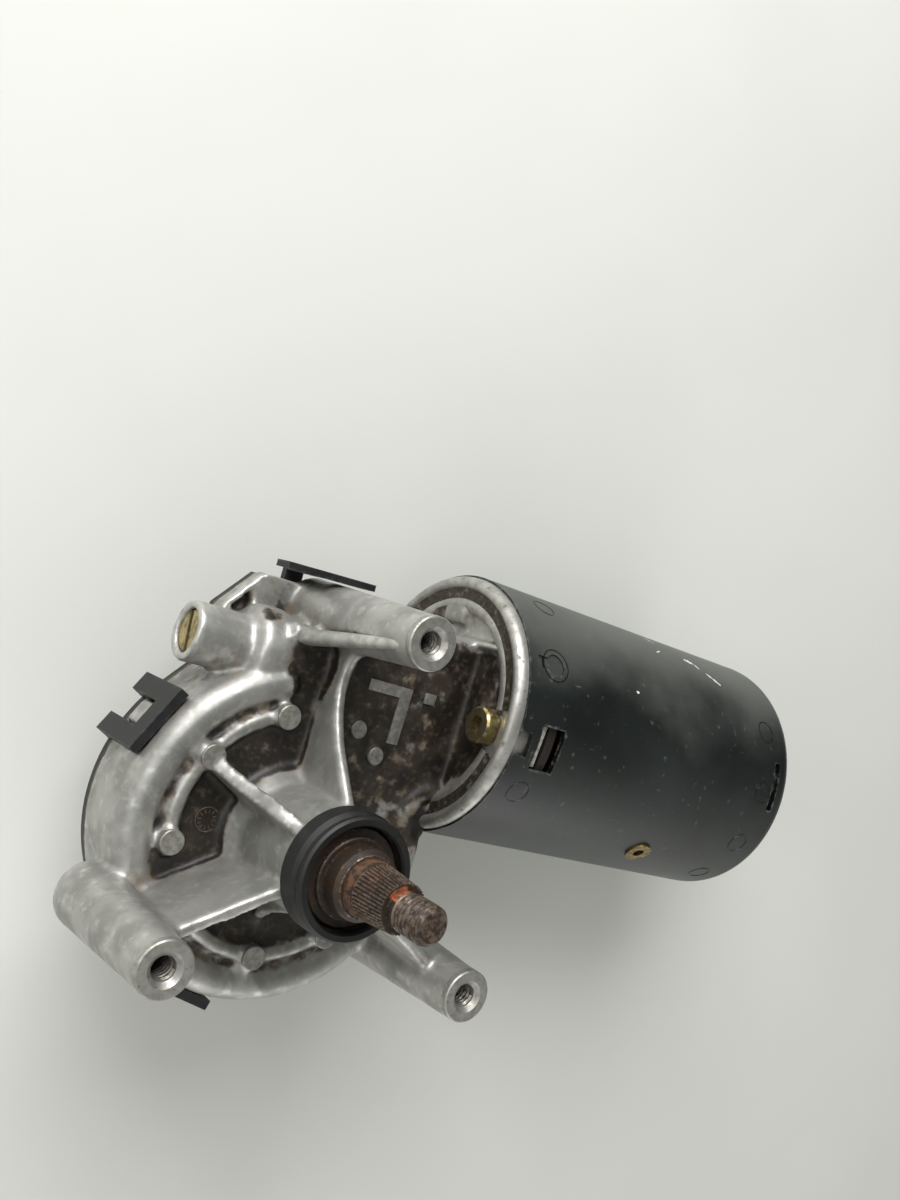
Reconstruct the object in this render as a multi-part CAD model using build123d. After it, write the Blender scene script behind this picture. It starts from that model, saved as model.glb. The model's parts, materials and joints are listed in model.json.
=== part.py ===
from build123d import *
from math import atan, cos, degrees, pi, radians, sin, sqrt, tan
import os

# Wiper motor: a worm-geared motor with a drawn steel can, a die-cast gear housing on
# three tapped posts, a tapered output shaft and a clipped rear cover with its plug.
# Millimetres. X runs along the motor axis towards the can, Z along the output shaft
# towards its thread. While the pieces are made, z = 0 is the level of the motor axis and
# x = y = 0 is the output shaft; saving drops everything so that the origin is the base
# of the shaft's thread.

# --- clearances
FIT = 0.05  # radial gap of pieces that are pressed or slid together
RUN = 0.05  # radial running clearance of a shaft in its bush
FREE = 0.4  # gap beside a piece that turns
SEAT = 0.3  # gap between curved pieces that rest against each other
EDGE = 0.5  # broken edges, and how deep one form is sunk in the next

# --- worm pair
WHEEL_TEETH = 60
WHEEL_GAP = 1.14  # from the wheel's teeth to the chamber's wall
PRESSURE_ANGLE = 20.0
WORM_PITCH_R = 5.6
WORM_LEN = 26.0
BACKLASH = 0.3
WHEEL_FACE = 10.0
WHEEL_RIM = 3.0
WEB_DEPTH = 4.0
HUB_R = 9.5
PARK_DISC_T = 0.6
PARK_INNER_R, PARK_OUTER_R = 15.0, 27.0
PARK_GAP_W, PARK_GAP_DEPTH, PARK_GAP_ANGLE = 6.0, 4.0, 200.0
WHEEL_SPOKES, WHEEL_SPOKE_W = 6, 2.4

# --- output shaft, above the motor axis unless a length
THREAD_BASE_Z = 59.5
THREAD_R = 4.0
THREAD_LEN = 8.0
THREAD_CHAMFER = 1.1
NECK_R = 3.7
NECK_LEN = 2.0
TAPER_TOP_R = 5.1
TAPER_LEN = 11.5
SHAFT_R = 6.0
SHAFT_FOOT_Z = -8.0
COLLAR_R = 7.4
COLLAR_LEN = 5.0
RING_R = 8.6
RING_LEN = 1.2
SPLASH_LEN = 1.0
RING_SEAL_R = 10.9
SEAL_LEN = 7.4
SEAL_STEP = 1.35
RING_EDGE = 0.3
GROOVE_DEPTH = 0.6

# --- gear housing
CASE_R = 38.0
RIM_ROUND_R = 4.1
RIM_TOP_Z = 11.0
FLARE_R = 3.2
RIM_START, RIM_END = 108.0, 365.0
FLARE_BEND_R, FLARE_START, FLARE_ARC = 7.8, 92.0, 122.0
FLARE_INSET = 3.3
FLOOR_Z = 8.5
FLOOR_WALL = 2.4
CASE_WALL = 4.0
REAR_Z = -10.0
BLOCK_TOP_Z = 9.4
TOWER_R = 12.0
TOWER_FOOT_R = 16.0
TOWER_TOP_Z = 33.6
SPIGOT_LEN = 3.9
BUSH_WALL = 2.0
BUSH_LEN = 9.0
TUNNEL_WALL = 2.3
TUBE_R = 6.7
TUBE_BORE_R = 4.9
TUBE_END_X = -32.7
ELBOW_X = -19.0
ELBOW_LEN = 9.0
ELBOW_R = 10.0
ELBOW_ROUND = 2.5
ROD_R, ROD_OFFSET = 2.2, 6.2
SHELF_H = 5.0
SHELF_CORNER_X, SHELF_END_X = -15.9, -23.5
SHELF_WALL = 1.7
POCKET_DEPTH = 3.2
LUG_FOOT_X, LUG_FOOT_Y = -30.0, 23.3
LUG_TOP_Z = 2.5

# --- tapped mounting posts
POST_CIRCLE_R = 41.44
POST_TOP_Z = 42.3
POST_TIP_R = 5.7
POST_FOOT_R = 7.5
POST_FOOT_Z = -1.0
TOP_POST_Y = 49.5
TAP_R = 2.5
TAP_LEN = 15.0
TAP_MOUTH_R = 3.54
POST_ROUND = 2.5
WEB_T = 2.6
SPOKE_WEB_T, LOW_WEB_T = 3.2, 3.0

# --- top edges of the webs, as shares of their reach and of their rise
TOP_WEB = ((0.0, 1.0), (0.302, 0.607), (0.514, 0.376), (0.740, 0.281), (1.0, 0.500))
LEFT_WEB = ((0.0, 1.0), (0.524, 0.960), (1.0, 0.936))
RIGHT_WEB = ((0.0, 1.0), (0.524, 1.080), (1.0, 0.960))
SPOKE_WEB = ((0.0, 1.0), (0.412, 0.829), (0.600, 0.458), (0.835, 0.207), (1.0, 0.076))
LOW_WEB = ((0.0, 0.761), (0.318, 0.279), (0.471, 0.084), (1.0, 0.068))

# --- floor pads and ribs
PAD_INSET = 6.9  # from the middle of the rim
PAD_R = 2.75
PAD_TOP_Z = 12.0
PAD_ANGLES = (108.5, 149.0, 190.5, 271.5, 310.5)
RIB_R = 1.8
RIB_ARCS = ((101.0, 198.0), (214.0, 312.0))
SPOKE_ANGLES = (150.0, 270.0)
SPOKE_R = 2.5
MARK_H, DOT_H, DOT_R = 0.5, 1.2, 2.2
MARKS = ((10.0, 22.0, 35.8, 38.4), (19.0, 22.2, 25.0, 38.2), (26.0, 29.2, 36.0, 38.6))
DOTS = ((10.5, 26.5), (17.0, 21.5))

# --- motor can and flange
CAN_R = 32.1
CAN_T = 1.4
CAN_LAP = 0.6  # how far the can's edge stands past the flange
CAN_LEN = 101.0
CAN_EDGE_R = 4.0
CAN_BOSS_R = 11.0
CAN_BOSS_LEN = 2.0
FLANGE_STANDOFF = 0.6  # from the gear chamber's side
FLANGE_T = 5.4
CREST_INSET = 2.7
RIB_T = 1.6
RING_RISE = 2.4
SCREW_INSET = 6.5  # from the flange ring's crest
SCREW_ANGLES = (96.0, -84.0)
SCREW_HEAD_R = 4.35
SCREW_HEAD_LEN = 4.0
SCREW_R = 2.4
SCREW_RAISE = 1.0  # of its head's seat above the flange
BOSS_EDGE, BOSS_T = 0.5, 2.0
SOCKET_R, SOCKET_DEPTH = 2.2, 2.2
WINDOW_SETBACK = 6.3  # from the can's edge, as the sizes below
WINDOW_LEN = 7.2
WINDOW_W = 10.6
NUT_T = 3.0
NUT_W = 9.8
NUT_REACH = 5.0
NUT_DROP = 0.6
NOTCH_LEN, NOTCH_W = 4.0, 5.6
END_SLOT_INSET, END_SLOT_LEN, END_SLOT_W, END_SLOT_ANGLE = 8.0, 2.0, 13.0, 85.0
KEY_SETBACK, KEY_ANGLE, KEY_R, KEY_W, KEY_DEPTH = 8.3, 60.0, 2.8, 3.0, 0.5
EYELET_SETBACK, EYELET_ANGLE = 59.2, 136.0
EYELET_R, EYELET_FLANGE_R = 2.4, 3.5
EYELET_WALL = 0.9
EYELET_RISE = 0.6

# --- armature
ROTOR_SHAFT_R = 4.0
ROTOR_NOSE_R = 3.5
ROTOR_NOSE_LEN = 7.0
AIR_GAP = 1.15  # between the core and the magnets
CORE_LEN = 50.0
SLOTS = 12
SLOT_MOUTH = 2.2
SLOT_DEPTH = 11.0
TOOTH_HALF = 1.6
SLOT_ROOT_HALF = 0.6
SLOT_LINER = 0.15
COIL_LEN = 6.5
COIL_GAP = 0.8
COIL_INSET = 2.2
COMM_R = 10.5
COMM_LEN = 14.2
COMM_GAP = 2.5  # from the flange
RISER_LEN, RISER_H = 2.5, 1.5
BAR_CUT_W, BAR_CUT_DEPTH = 0.5, 0.5
MAGNET_T = 6.0
MAGNET_ARC = 130.0
MAGNET_OVERHANG = 3.0
FRONT_BEARING_R = 9.0
FRONT_BEARING_LEN = 6.0
END_BUSH_R = 8.0
END_BUSH_LEN = 7.0
PAD_LEN = 2.0
SCREW_SINK = 1.0
SLOT_TURN, SLOT_W, SLOT_CUT = 77.4, 1.3, 1.6
HOLDER_T = 2.5
HOLDER_SETBACK = 3.5
BRUSH_W, BRUSH_L = 6.0, 7.0
BRUSH_LEN = 10.7
SPRING_T = 2.2
BOX_WALL = 0.8
COMM_HUB_R = 7.0

# --- rear cover
GASKET_T = 0.8
COVER_T = 1.8
COVER_LIP = 6.0  # from the case's side to the dome
COVER_INSET = 0.5
COVER_ROUND = 2.0
COVER_RIBS, COVER_RIB_T, COVER_RIB_H, COVER_RIB_START = 6, 1.6, 1.2, 12.0
COVER_DEPTH = 7.0
CLIP_LEN = 16.0
CLIP_T = 2.2
CLIP_LEG_W = 4.7
CLIP_FRONT_Z = 6.7
CLIP_BAR_W = 5.7
CLIP_ANGLES = (152.7, 253.0)
TOP_CLIP_LEN = 23.0
TOP_CLIP_X = -5.5
TOP_CLIP_T = 1.5
TOP_CLIP_TILT = 2.4
TOP_CLIP_RAISE = -0.2
CLIP_REACH = 5.0
LUG_DROP = 6.2
PLUG_X, PLUG_Y = -14.0, -8.0
PLUG_LEN, PLUG_W = 24.0, 14.0
PLUG_WALL = 1.8
PIN_COUNT = 5
PIN_PITCH = 4.0
PIN_W, PIN_T = 2.8, 0.8
PIN_END_Z = -26.5
CONTACT_XS = (16.5, 20.5, 24.0)
CONTACT_W, CONTACT_T, CONTACT_FOOT, CONTACT_LEN = 2.0, 0.6, 8.0, 10.0

# --- worked out
chamber_r = CASE_R - CASE_WALL
gear_module = (chamber_r - WHEEL_GAP) / (WHEEL_TEETH / 2 + 1)
wheel_pitch_r = gear_module * WHEEL_TEETH / 2
tooth_add = gear_module
tooth_ded = 1.25 * gear_module
worm_lead = pi * gear_module
motor_y = wheel_pitch_r + WORM_PITCH_R
worm_tip_r = WORM_PITCH_R + tooth_add
worm_root_r = WORM_PITCH_R - tooth_ded
ceiling_z = FLOOR_Z - FLOOR_WALL
rim_centre_r = CASE_R - RIM_ROUND_R
rim_centre_z = RIM_TOP_Z - RIM_ROUND_R
pad_circle_r = rim_centre_r - PAD_INSET
bush_r = SHAFT_R + RUN + BUSH_WALL
spigot_r = TOWER_R - 1.0
seal_back_r = TOWER_R + SEAL_STEP
block_edge_y = TOP_POST_Y + POST_TIP_R - 1.0
shelf_top_z = REAR_Z + SHELF_H
spigot_top_z = TOWER_TOP_Z + SPIGOT_LEN
wheel_top_z = WHEEL_FACE / 2
tunnel_bore_r = worm_tip_r + FREE
flange_front_x = CASE_R + FLANGE_STANDOFF
flange_back_x = flange_front_x + FLANGE_T
can_front_x = flange_front_x - CAN_LAP
can_end_x = can_front_x + CAN_LEN
can_inner_r = CAN_R - CAN_T
block_low_y = motor_y - CAN_R
ring_crest_r = can_inner_r - CREST_INSET
screw_circle_r = ring_crest_r - SCREW_INSET
screw_seat_x = flange_front_x - SCREW_RAISE
comm_x = flange_back_x + COMM_GAP
core_x = comm_x + COMM_LEN + COIL_GAP + COIL_LEN
core_r = can_inner_r - FIT - MAGNET_T - AIR_GAP
slot_outer_r = core_r - TOOTH_HALF
splash_z = spigot_top_z + FREE
ring_z = splash_z + SPLASH_LEN
collar_z = ring_z + RING_LEN
taper_top_z = THREAD_BASE_Z - NECK_LEN
taper_base_z = taper_top_z - TAPER_LEN
worm_end_x = -WORM_LEN / 2
nose_x = worm_end_x - 2.0
nose_end_x = nose_x - ROTOR_NOSE_LEN
bearing_x = flange_front_x - FRONT_BEARING_LEN
brush_x = comm_x + HOLDER_SETBACK
brush_in_r = COMM_R + SEAT
brush_out_r = brush_in_r + BRUSH_LEN
end_bush_x = can_end_x - END_BUSH_LEN + CAN_BOSS_LEN - CAN_T
shaft_end_x = end_bush_x + END_BUSH_LEN - 1.0
cover_top_z = REAR_Z - GASKET_T
cover_back_z = cover_top_z - COVER_DEPTH
cover_floor_z = cover_back_z + COVER_T
cover_dome_r = CASE_R - COVER_LIP
plug_end_z = -CAN_R


def on_circle(radius, angle):
    """Return the (x, y) of a point at a radius and an angle about the output shaft."""
    return radius * cos(radians(angle)), radius * sin(radians(angle))


def upright(x, y, low, high, radius, top_radius=None):
    """Return an upright cylinder or cone between two levels."""
    top = radius if top_radius is None else top_radius
    height = high - low
    align = (Align.CENTER, Align.CENTER, Align.MIN)
    solid = Cylinder(radius, height, align=align)
    if top != radius:
        solid = Cone(radius, top, height, align=align)
    return Pos(x, y, low) * solid


def along_motor(x_low, x_high, radius, y=0.0, z=0.0):
    """Return a cylinder along the motor axis, moved off it by y and z."""
    align = (Align.CENTER, Align.CENTER, Align.MIN)
    bar = Cylinder(radius, x_high - x_low, align=align)
    return Pos(x_low, motor_y + y, z) * Rot(0, 90, 0) * bar


def motor_tube(x_low, x_high, outer, inner):
    """Return a tube about the motor axis."""
    return along_motor(x_low, x_high, outer) - along_motor(x_low, x_high, inner)


def slab(x_low, x_high, y_low, y_high, z_low, z_high):
    """Return a box between two corners."""
    box = Box(x_high - x_low, y_high - y_low, z_high - z_low, align=(Align.MIN,) * 3)
    return Pos(x_low, y_low, z_low) * box


def prism(points, low, high):
    """Return a plan outline raised between two levels."""
    face = make_face(Polyline(*points, close=True))
    return Pos(0, 0, low) * extrude(face, high - low)


def turned(points, angle=360.0, start=0.0):
    """Revolve a (radius, z) outline about the output shaft."""
    face = make_face(Polyline(*[(r, 0, z) for r, z in points], close=True))
    return Rot(0, 0, start) * revolve(face, Axis.Z, angle)


def turned_about_motor(points):
    """Revolve an (x, radius) outline about the motor axis."""
    face = make_face(Polyline(*[(x, motor_y + r, 0) for x, r in points], close=True))
    return revolve(face, Axis((0, motor_y, 0), (1, 0, 0)))


# ---------------------------------------------------------------- gear housing


def rim():
    """Return the rounded rim that runs round the gear chamber, with round ends."""
    section = Pos(rim_centre_r, 0, rim_centre_z) * Rot(90, 0, 0) * Circle(RIM_ROUND_R)
    arc = Rot(0, 0, RIM_START) * revolve(section, Axis.Z, RIM_END - RIM_START)
    for angle in (RIM_START, RIM_END):
        x, y = on_circle(rim_centre_r, angle)
        arc += Pos(x, y, rim_centre_z) * Sphere(RIM_ROUND_R)
    return arc


def rim_flare():
    """Return the ridge that carries the rim round to the flange."""
    section = Pos(FLARE_BEND_R, 0, 0) * Rot(90, 0, 0) * Circle(FLARE_R)
    bend = Rot(0, 0, FLARE_START) * revolve(section, Axis.Z, FLARE_ARC)
    x, y = on_circle(FLARE_BEND_R, FLARE_START + FLARE_ARC)
    ridge = bend + Pos(x, y, 0) * Sphere(FLARE_R)
    return Pos(flange_front_x - EDGE, block_low_y + FLARE_INSET, RIM_TOP_Z - FLARE_R) * ridge


def chamber_body():
    """Return the drum of the gear chamber with its floor and rim."""
    drum = upright(0, 0, REAR_Z, rim_centre_z, CASE_R)
    drum += upright(0, 0, rim_centre_z, FLOOR_Z, rim_centre_r)
    return drum + rim() + rim_flare()


def block_outline(inset=0.0):
    """Return the plan corners of the block between the post and the flange."""
    return [
        (0, block_low_y + inset), (flange_front_x - inset, block_low_y + inset),
        (flange_front_x - inset, block_edge_y - 1.5 - inset / 2), (8, block_edge_y - 1.5 - inset / 2),
        (3, block_edge_y - inset / 2), (0, block_edge_y - inset / 2),
    ]


def shelf_outline(inset=0.0):
    """Return the plan corners of the shelf between the post, the adjuster and the chamber."""
    return [
        (0, block_low_y), (0, block_edge_y - inset), (SHELF_CORNER_X + inset, block_edge_y - inset),
        (SHELF_END_X + inset, motor_y + TUBE_R + FREE), (SHELF_END_X + inset, motor_y - TUBE_R + FREE),
        (LUG_FOOT_X + inset, LUG_FOOT_Y), (ELBOW_X, block_low_y + ELBOW_R),
    ]


def shelf():
    """Return the shelf with its rounded corner, its pocket and the lug beside the adjuster."""
    plate = prism(shelf_outline(), REAR_Z, shelf_top_z)
    corner = plate.edges().filter_by(Axis.Z).sort_by_distance((SHELF_CORNER_X, block_edge_y, REAR_Z))[0]
    plate = fillet(corner, POST_ROUND)
    pocket = [
        (SHELF_CORNER_X - 1, block_edge_y - 2 * SHELF_WALL),
        (SHELF_CORNER_X - 1, motor_y + TUBE_R), (SHELF_END_X + SHELF_WALL, motor_y + TUBE_R),
    ]
    lug = [
        (LUG_FOOT_X, LUG_FOOT_Y), (SHELF_END_X, motor_y - TUBE_R + FREE),
        (ELBOW_X, motor_y - TUBE_R + FREE), (ELBOW_X, block_low_y + ELBOW_R),
    ]
    return plate - prism(pocket, shelf_top_z - POCKET_DEPTH, shelf_top_z + 1) + prism(lug, REAR_Z, LUG_TOP_Z)


def tunnel_block():
    """Return the block that carries the worm tunnel from the adjuster to the flange."""
    return prism(block_outline(), REAR_Z, BLOCK_TOP_Z) + shelf() + upper_tunnel()


def upper_tunnel():
    """Return the worm tunnel's own walls: elbow, adjuster tube and the run to the flange."""
    elbow = along_motor(ELBOW_X, ELBOW_X + ELBOW_LEN, ELBOW_R)
    elbow = fillet(elbow.edges().filter_by(GeomType.CIRCLE), ELBOW_ROUND)
    run = along_motor(ELBOW_X + 1, flange_front_x, tunnel_bore_r + TUNNEL_WALL)
    tube = along_motor(TUBE_END_X, ELBOW_X + 1, TUBE_R)
    tube = chamfer(tube.edges().filter_by(GeomType.CIRCLE).sort_by(Axis.X)[0], EDGE)
    rod = along_motor(ELBOW_X + ELBOW_LEN - ELBOW_ROUND, 0, ROD_R, ROD_OFFSET, FLOOR_Z - EDGE)
    return elbow + run + tube + rod


def flange():
    """Return the round flange that closes the can, with its ring and groove."""
    rim_r = can_inner_r - FIT
    crest_x = flange_front_x - RING_RISE
    return turned_about_motor([
        (flange_back_x, 0), (flange_back_x, rim_r), (flange_front_x, rim_r),
        (flange_front_x, rim_r - 0.8), (flange_front_x + 1.4, rim_r - 1.2),
        (crest_x + 0.8, ring_crest_r + 0.6), (crest_x, ring_crest_r),
        (crest_x, ring_crest_r - 1.0), (flange_front_x - 0.2, ring_crest_r - 2.2),
        (flange_front_x - 0.2, 0),
    ])


def screw_boss(angle):
    """Return the boss that ties a flange screw's seat to the flange ring."""
    height = ring_crest_r - screw_circle_r
    boss = Cylinder(SCREW_HEAD_R + BOSS_EDGE, BOSS_T, align=(Align.CENTER, Align.CENTER, Align.MAX))
    tie = Pos(-height / 2, 0, -BOSS_T / 2) * Box(height, 2 * SCREW_HEAD_R, BOSS_T)
    return screw_place(angle, screw_seat_x + FIT) * (boss + tie)


def screw_place(angle, x):
    """Return the place of a flange screw: its z runs from the flange towards the gear."""
    y, z = on_circle(screw_circle_r, angle)
    return Pos(x, motor_y + y, z) * Rot(angle, 0, 0) * Rot(0, -90, 0) * Rot(0, 0, 90)


def flange_ribs():
    """Return the ribs on the flange's gear side."""
    front = flange_front_x - RING_RISE
    rib_y = TOP_POST_Y + 3
    rib_top = sqrt(ring_crest_r ** 2 - (rib_y + RIB_T - motor_y) ** 2)
    upright_rib = slab(front, flange_front_x, rib_y, rib_y + RIB_T, 0, rib_top)
    low, high = TOP_POST_Y + POST_FOOT_R, motor_y + can_inner_r
    corners = [(low, -12), (high - 2, -12), (high - 4, 3), (low, 1)]
    fin = make_face(Polyline(*[(flange_front_x, y, z) for y, z in corners], close=True))
    return upright_rib + extrude(fin, -RING_RISE, dir=(1, 0, 0))


def post(x, y, foot_z):
    """Return one tapered mounting post, solid."""
    cone = upright(x, y, foot_z, POST_TOP_Z, POST_FOOT_R, POST_TIP_R)
    return fillet(cone.edges().sort_by(Axis.Z)[0], POST_ROUND)


def tapped_hole(x, y):
    """Return the bore and countersunk mouth of a post's tapped hole."""
    sink = TAP_MOUTH_R - TAP_R
    bore = upright(x, y, POST_TOP_Z - sink - TAP_LEN, POST_TOP_Z, TAP_R)
    return bore + upright(x, y, POST_TOP_Z - sink, POST_TOP_Z, TAP_R, TAP_MOUTH_R)


def post_places():
    """Return each post's x, y and the level of its foot."""
    left = on_circle(POST_CIRCLE_R, 210)
    right = on_circle(POST_CIRCLE_R, 330)
    return [(*left, POST_FOOT_Z), (*right, POST_FOOT_Z), (0, TOP_POST_Y, REAR_Z)]


def tower():
    """Return the tower round the output shaft, with the spigot for the seal."""
    foot_z = ceiling_z
    return turned([
        (0, foot_z), (TOWER_FOOT_R, foot_z), (TOWER_FOOT_R, FLOOR_Z), (TOWER_R + 0.8, FLOOR_Z + 6),
        (TOWER_R, TOWER_TOP_Z), (spigot_r, TOWER_TOP_Z), (spigot_r, spigot_top_z - 0.6),
        (spigot_r - 0.6, spigot_top_z), (0, spigot_top_z),
    ])


def radial_web(angle, shares, outer_r, width=WEB_T):
    """Return a web in a plane through the shaft, from the tower out to a radius."""
    inner_r = TOWER_R - 2
    low = ceiling_z + EDGE
    reach, rise = outer_r - inner_r, TOWER_TOP_Z - FLOOR_Z
    edge = [(inner_r + out * reach, 0, FLOOR_Z + up * rise) for out, up in shares]
    sides = Polyline(edge[0], (inner_r, 0, low), (outer_r, 0, low), edge[-1])
    web = extrude(make_face(Spline(*edge) + sides), width / 2, both=True)
    return Rot(0, 0, angle) * web


def webs():
    """Return the webs and spokes that brace the tower."""
    side_r = POST_CIRCLE_R - POST_TIP_R + 1
    solid = radial_web(90, TOP_WEB, TOP_POST_Y - POST_TIP_R + 2)
    solid += radial_web(210, LEFT_WEB, side_r) + radial_web(330, RIGHT_WEB, side_r)
    solid += radial_web(SPOKE_ANGLES[0], SPOKE_WEB, pad_circle_r, SPOKE_WEB_T)
    return solid + radial_web(SPOKE_ANGLES[1], LOW_WEB, pad_circle_r, LOW_WEB_T)


def floor_ribs():
    """Return the pads on the floor and the round ribs that join them."""
    solid = Part()
    for angle in PAD_ANGLES:
        x, y = on_circle(pad_circle_r, angle)
        solid += upright(x, y, ceiling_z + EDGE, PAD_TOP_Z, PAD_R)
    section = Pos(pad_circle_r, 0, FLOOR_Z + SEAT) * Rot(90, 0, 0) * Circle(RIB_R)
    for start, end in RIB_ARCS:
        solid += Rot(0, 0, start) * revolve(section, Axis.Z, end - start)
    for angle in SPOKE_ANGLES:
        spoke = Cylinder(SPOKE_R, rim_centre_r - pad_circle_r, align=(Align.CENTER, Align.CENTER, Align.MIN))
        solid += Rot(0, 0, angle) * Pos(pad_circle_r, 0, FLOOR_Z) * Rot(0, 90, 0) * spoke
    return solid


def cast_marks():
    """Return the flat raised pads on the block between the web and the flange."""
    solid = Part()
    for x_low, x_high, y_low, y_high in MARKS:
        solid += slab(x_low, x_high, y_low, y_high, BLOCK_TOP_Z - 1, BLOCK_TOP_Z + MARK_H)
    for x, y in DOTS:
        solid += upright(x, y, BLOCK_TOP_Z - 1, BLOCK_TOP_Z + DOT_H, DOT_R)
    return solid


def clip_lugs():
    """Return the cast lugs that the rear cover's clips snap over."""
    solid = Part()
    length = CLIP_LEN - 2 * CLIP_LEG_W - 2 * SEAT
    for angle in CLIP_ANGLES:
        high = CLIP_FRONT_Z - CLIP_BAR_W - SEAT
        lug = slab(CASE_R - 2, CASE_R + CLIP_T - FREE, -length / 2, length / 2, -LUG_DROP, high)
        solid += Rot(0, 0, angle) * lug
    return solid


def housing_cavity():
    """Return everything that is open inside the gear housing."""
    hollow = upright(0, 0, REAR_Z - 1, ceiling_z, chamber_r)
    hollow += upright(0, 0, ceiling_z - 1, spigot_top_z + 1, bush_r + FIT)
    hollow += along_motor(nose_x, bearing_x + 1, tunnel_bore_r)
    hollow += along_motor(TUBE_END_X - 1, nose_x + 1, TUBE_BORE_R)
    hollow += along_motor(bearing_x, flange_back_x + 1, FRONT_BEARING_R + FIT)
    for angle in SCREW_ANGLES:
        hole_len = flange_back_x - screw_seat_x + SCREW_HEAD_LEN
        hollow += screw_place(angle, flange_back_x + 1) * upright(0, 0, 0, hole_len, SCREW_R + FIT)
    for x, y, _ in post_places():
        hollow += tapped_hole(x, y)
    return hollow


def gear_housing():
    """Return the die-cast gear housing."""
    solid = chamber_body() + tunnel_block() + flange() + flange_ribs()
    for angle in SCREW_ANGLES:
        solid += screw_boss(angle)
    webbing = webs() - upright(0, 0, TOWER_TOP_Z, POST_TOP_Z, seal_back_r + FREE)
    solid += webbing + tower() + floor_ribs() + cast_marks() + clip_lugs()
    for x, y, foot_z in post_places():
        solid += post(x, y, foot_z)
    solid -= motor_tube(can_front_x - SEAT, flange_back_x + 1, CAN_R + 5, can_inner_r - FIT)
    return solid - housing_cavity()


def shaft_bushes():
    """Return the two plain bushes that carry the output shaft in the tower."""
    bushes = Part()
    for low in (ceiling_z, spigot_top_z - BUSH_LEN):
        high = low + BUSH_LEN
        bushes += upright(0, 0, low, high, bush_r) - upright(0, 0, low, high, SHAFT_R + RUN)
    return bushes


def shaft_seal():
    """Return the moulded rubber seal that is pushed over the tower's spigot."""
    bore = spigot_r + FIT
    back, front = seal_back_r, TOWER_R + 1.0
    lip = RING_SEAL_R
    step = spigot_top_z + FIT
    top = TOWER_TOP_Z + SEAL_LEN
    return turned([
        (bore, TOWER_TOP_Z), (back, TOWER_TOP_Z), (back, step), (front - 0.6, step + 0.7),
        (front - 0.6, step + 1.3), (front, step + 1.9), (front, top - 0.5), (front - 0.5, top),
        (lip + 0.4, top), (lip, top - 0.6), (lip, step), (bore, step),
    ])


# ---------------------------------------------------------------- output shaft and wheel


def output_shaft():
    """Return the output shaft: journal, ring groove, taper, neck and thread."""
    groove_r = SHAFT_R - GROOVE_DEPTH
    thread_top = THREAD_BASE_Z + THREAD_LEN
    return turned([
        (0, SHAFT_FOOT_Z), (SHAFT_R - EDGE, SHAFT_FOOT_Z), (SHAFT_R, SHAFT_FOOT_Z + EDGE),
        (SHAFT_R, ring_z), (groove_r, ring_z), (groove_r, collar_z), (SHAFT_R, collar_z),
        (SHAFT_R, taper_base_z), (TAPER_TOP_R, taper_top_z), (NECK_R, taper_top_z),
        (NECK_R, THREAD_BASE_Z), (THREAD_R, THREAD_BASE_Z), (THREAD_R, thread_top - THREAD_CHAMFER),
        (THREAD_R - THREAD_CHAMFER, thread_top), (0, thread_top),
    ])


def shaft_ring(low, high, inner, outer, edge):
    """Return a ring on the output shaft with its upper outer edge broken."""
    return turned([(inner, low), (outer, low), (outer, high - edge), (outer - edge, high), (inner, high)])


def tooth_outline(shift):
    """Return the plan outline of the worm wheel's teeth, turned by a shift in degrees."""
    tip_r = wheel_pitch_r + tooth_add
    root_r = wheel_pitch_r - tooth_ded
    base_r = wheel_pitch_r * cos(radians(PRESSURE_ANGLE))
    pitch_half = (worm_lead / 2 - BACKLASH) / 2 / wheel_pitch_r
    points = []
    for tooth in range(WHEEL_TEETH):
        middle = 2 * pi * (tooth + 0.5) / WHEEL_TEETH + pi / 2 + radians(shift)
        flank = []
        for radius in (root_r, wheel_pitch_r, tip_r):
            half = pitch_half + involute(wheel_pitch_r, base_r) - involute(radius, base_r)
            flank.append((radius, half))
        for side, order in ((-1, flank), (1, flank[::-1])):
            points += [(r * cos(middle + side * h), r * sin(middle + side * h)) for r, h in order]
    return points


def involute(radius, base_r):
    """Return the involute angle at a radius, in radians."""
    ratio = sqrt(max((radius / base_r) ** 2 - 1, 0))
    return ratio - atan(ratio)


def worm_wheel():
    """Return the moulded worm wheel with its helical teeth, web and bore."""
    half = WHEEL_FACE / 2
    shift = degrees(worm_lead * half / (2 * pi * WORM_PITCH_R * wheel_pitch_r))
    low = Pos(0, 0, -half) * make_face(Polyline(*tooth_outline(-shift), close=True))
    high = Pos(0, 0, half) * make_face(Polyline(*tooth_outline(shift), close=True))
    wheel = loft([low, high], ruled=True)
    web = upright(0, 0, half - WEB_DEPTH, half + 1, wheel_pitch_r - tooth_ded - WHEEL_RIM)
    web -= upright(0, 0, half - WEB_DEPTH, half + 1, HUB_R + WHEEL_RIM)
    for spoke in range(WHEEL_SPOKES):
        rib = Box(wheel_pitch_r, WHEEL_SPOKE_W, WEB_DEPTH)
        rib = Pos((HUB_R + wheel_pitch_r) / 2, 0, half - WEB_DEPTH / 2) * rib
        web -= Rot(0, 0, 360 / WHEEL_SPOKES * spoke) * rib
    return wheel - web - upright(0, 0, -half - 1, half + 1, HUB_R + FIT)


def wheel_hub():
    """Return the steel hub that is pressed on the shaft inside the wheel."""
    hub = upright(0, 0, -wheel_top_z, wheel_top_z, HUB_R)
    return hub - upright(0, 0, -wheel_top_z, wheel_top_z, SHAFT_R + FIT)


def thrust_washer():
    """Return the washer between the hub and the lower bush."""
    high = ceiling_z - SEAT
    return upright(0, 0, wheel_top_z, high, HUB_R) - upright(0, 0, wheel_top_z, high, SHAFT_R + FIT)


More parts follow.
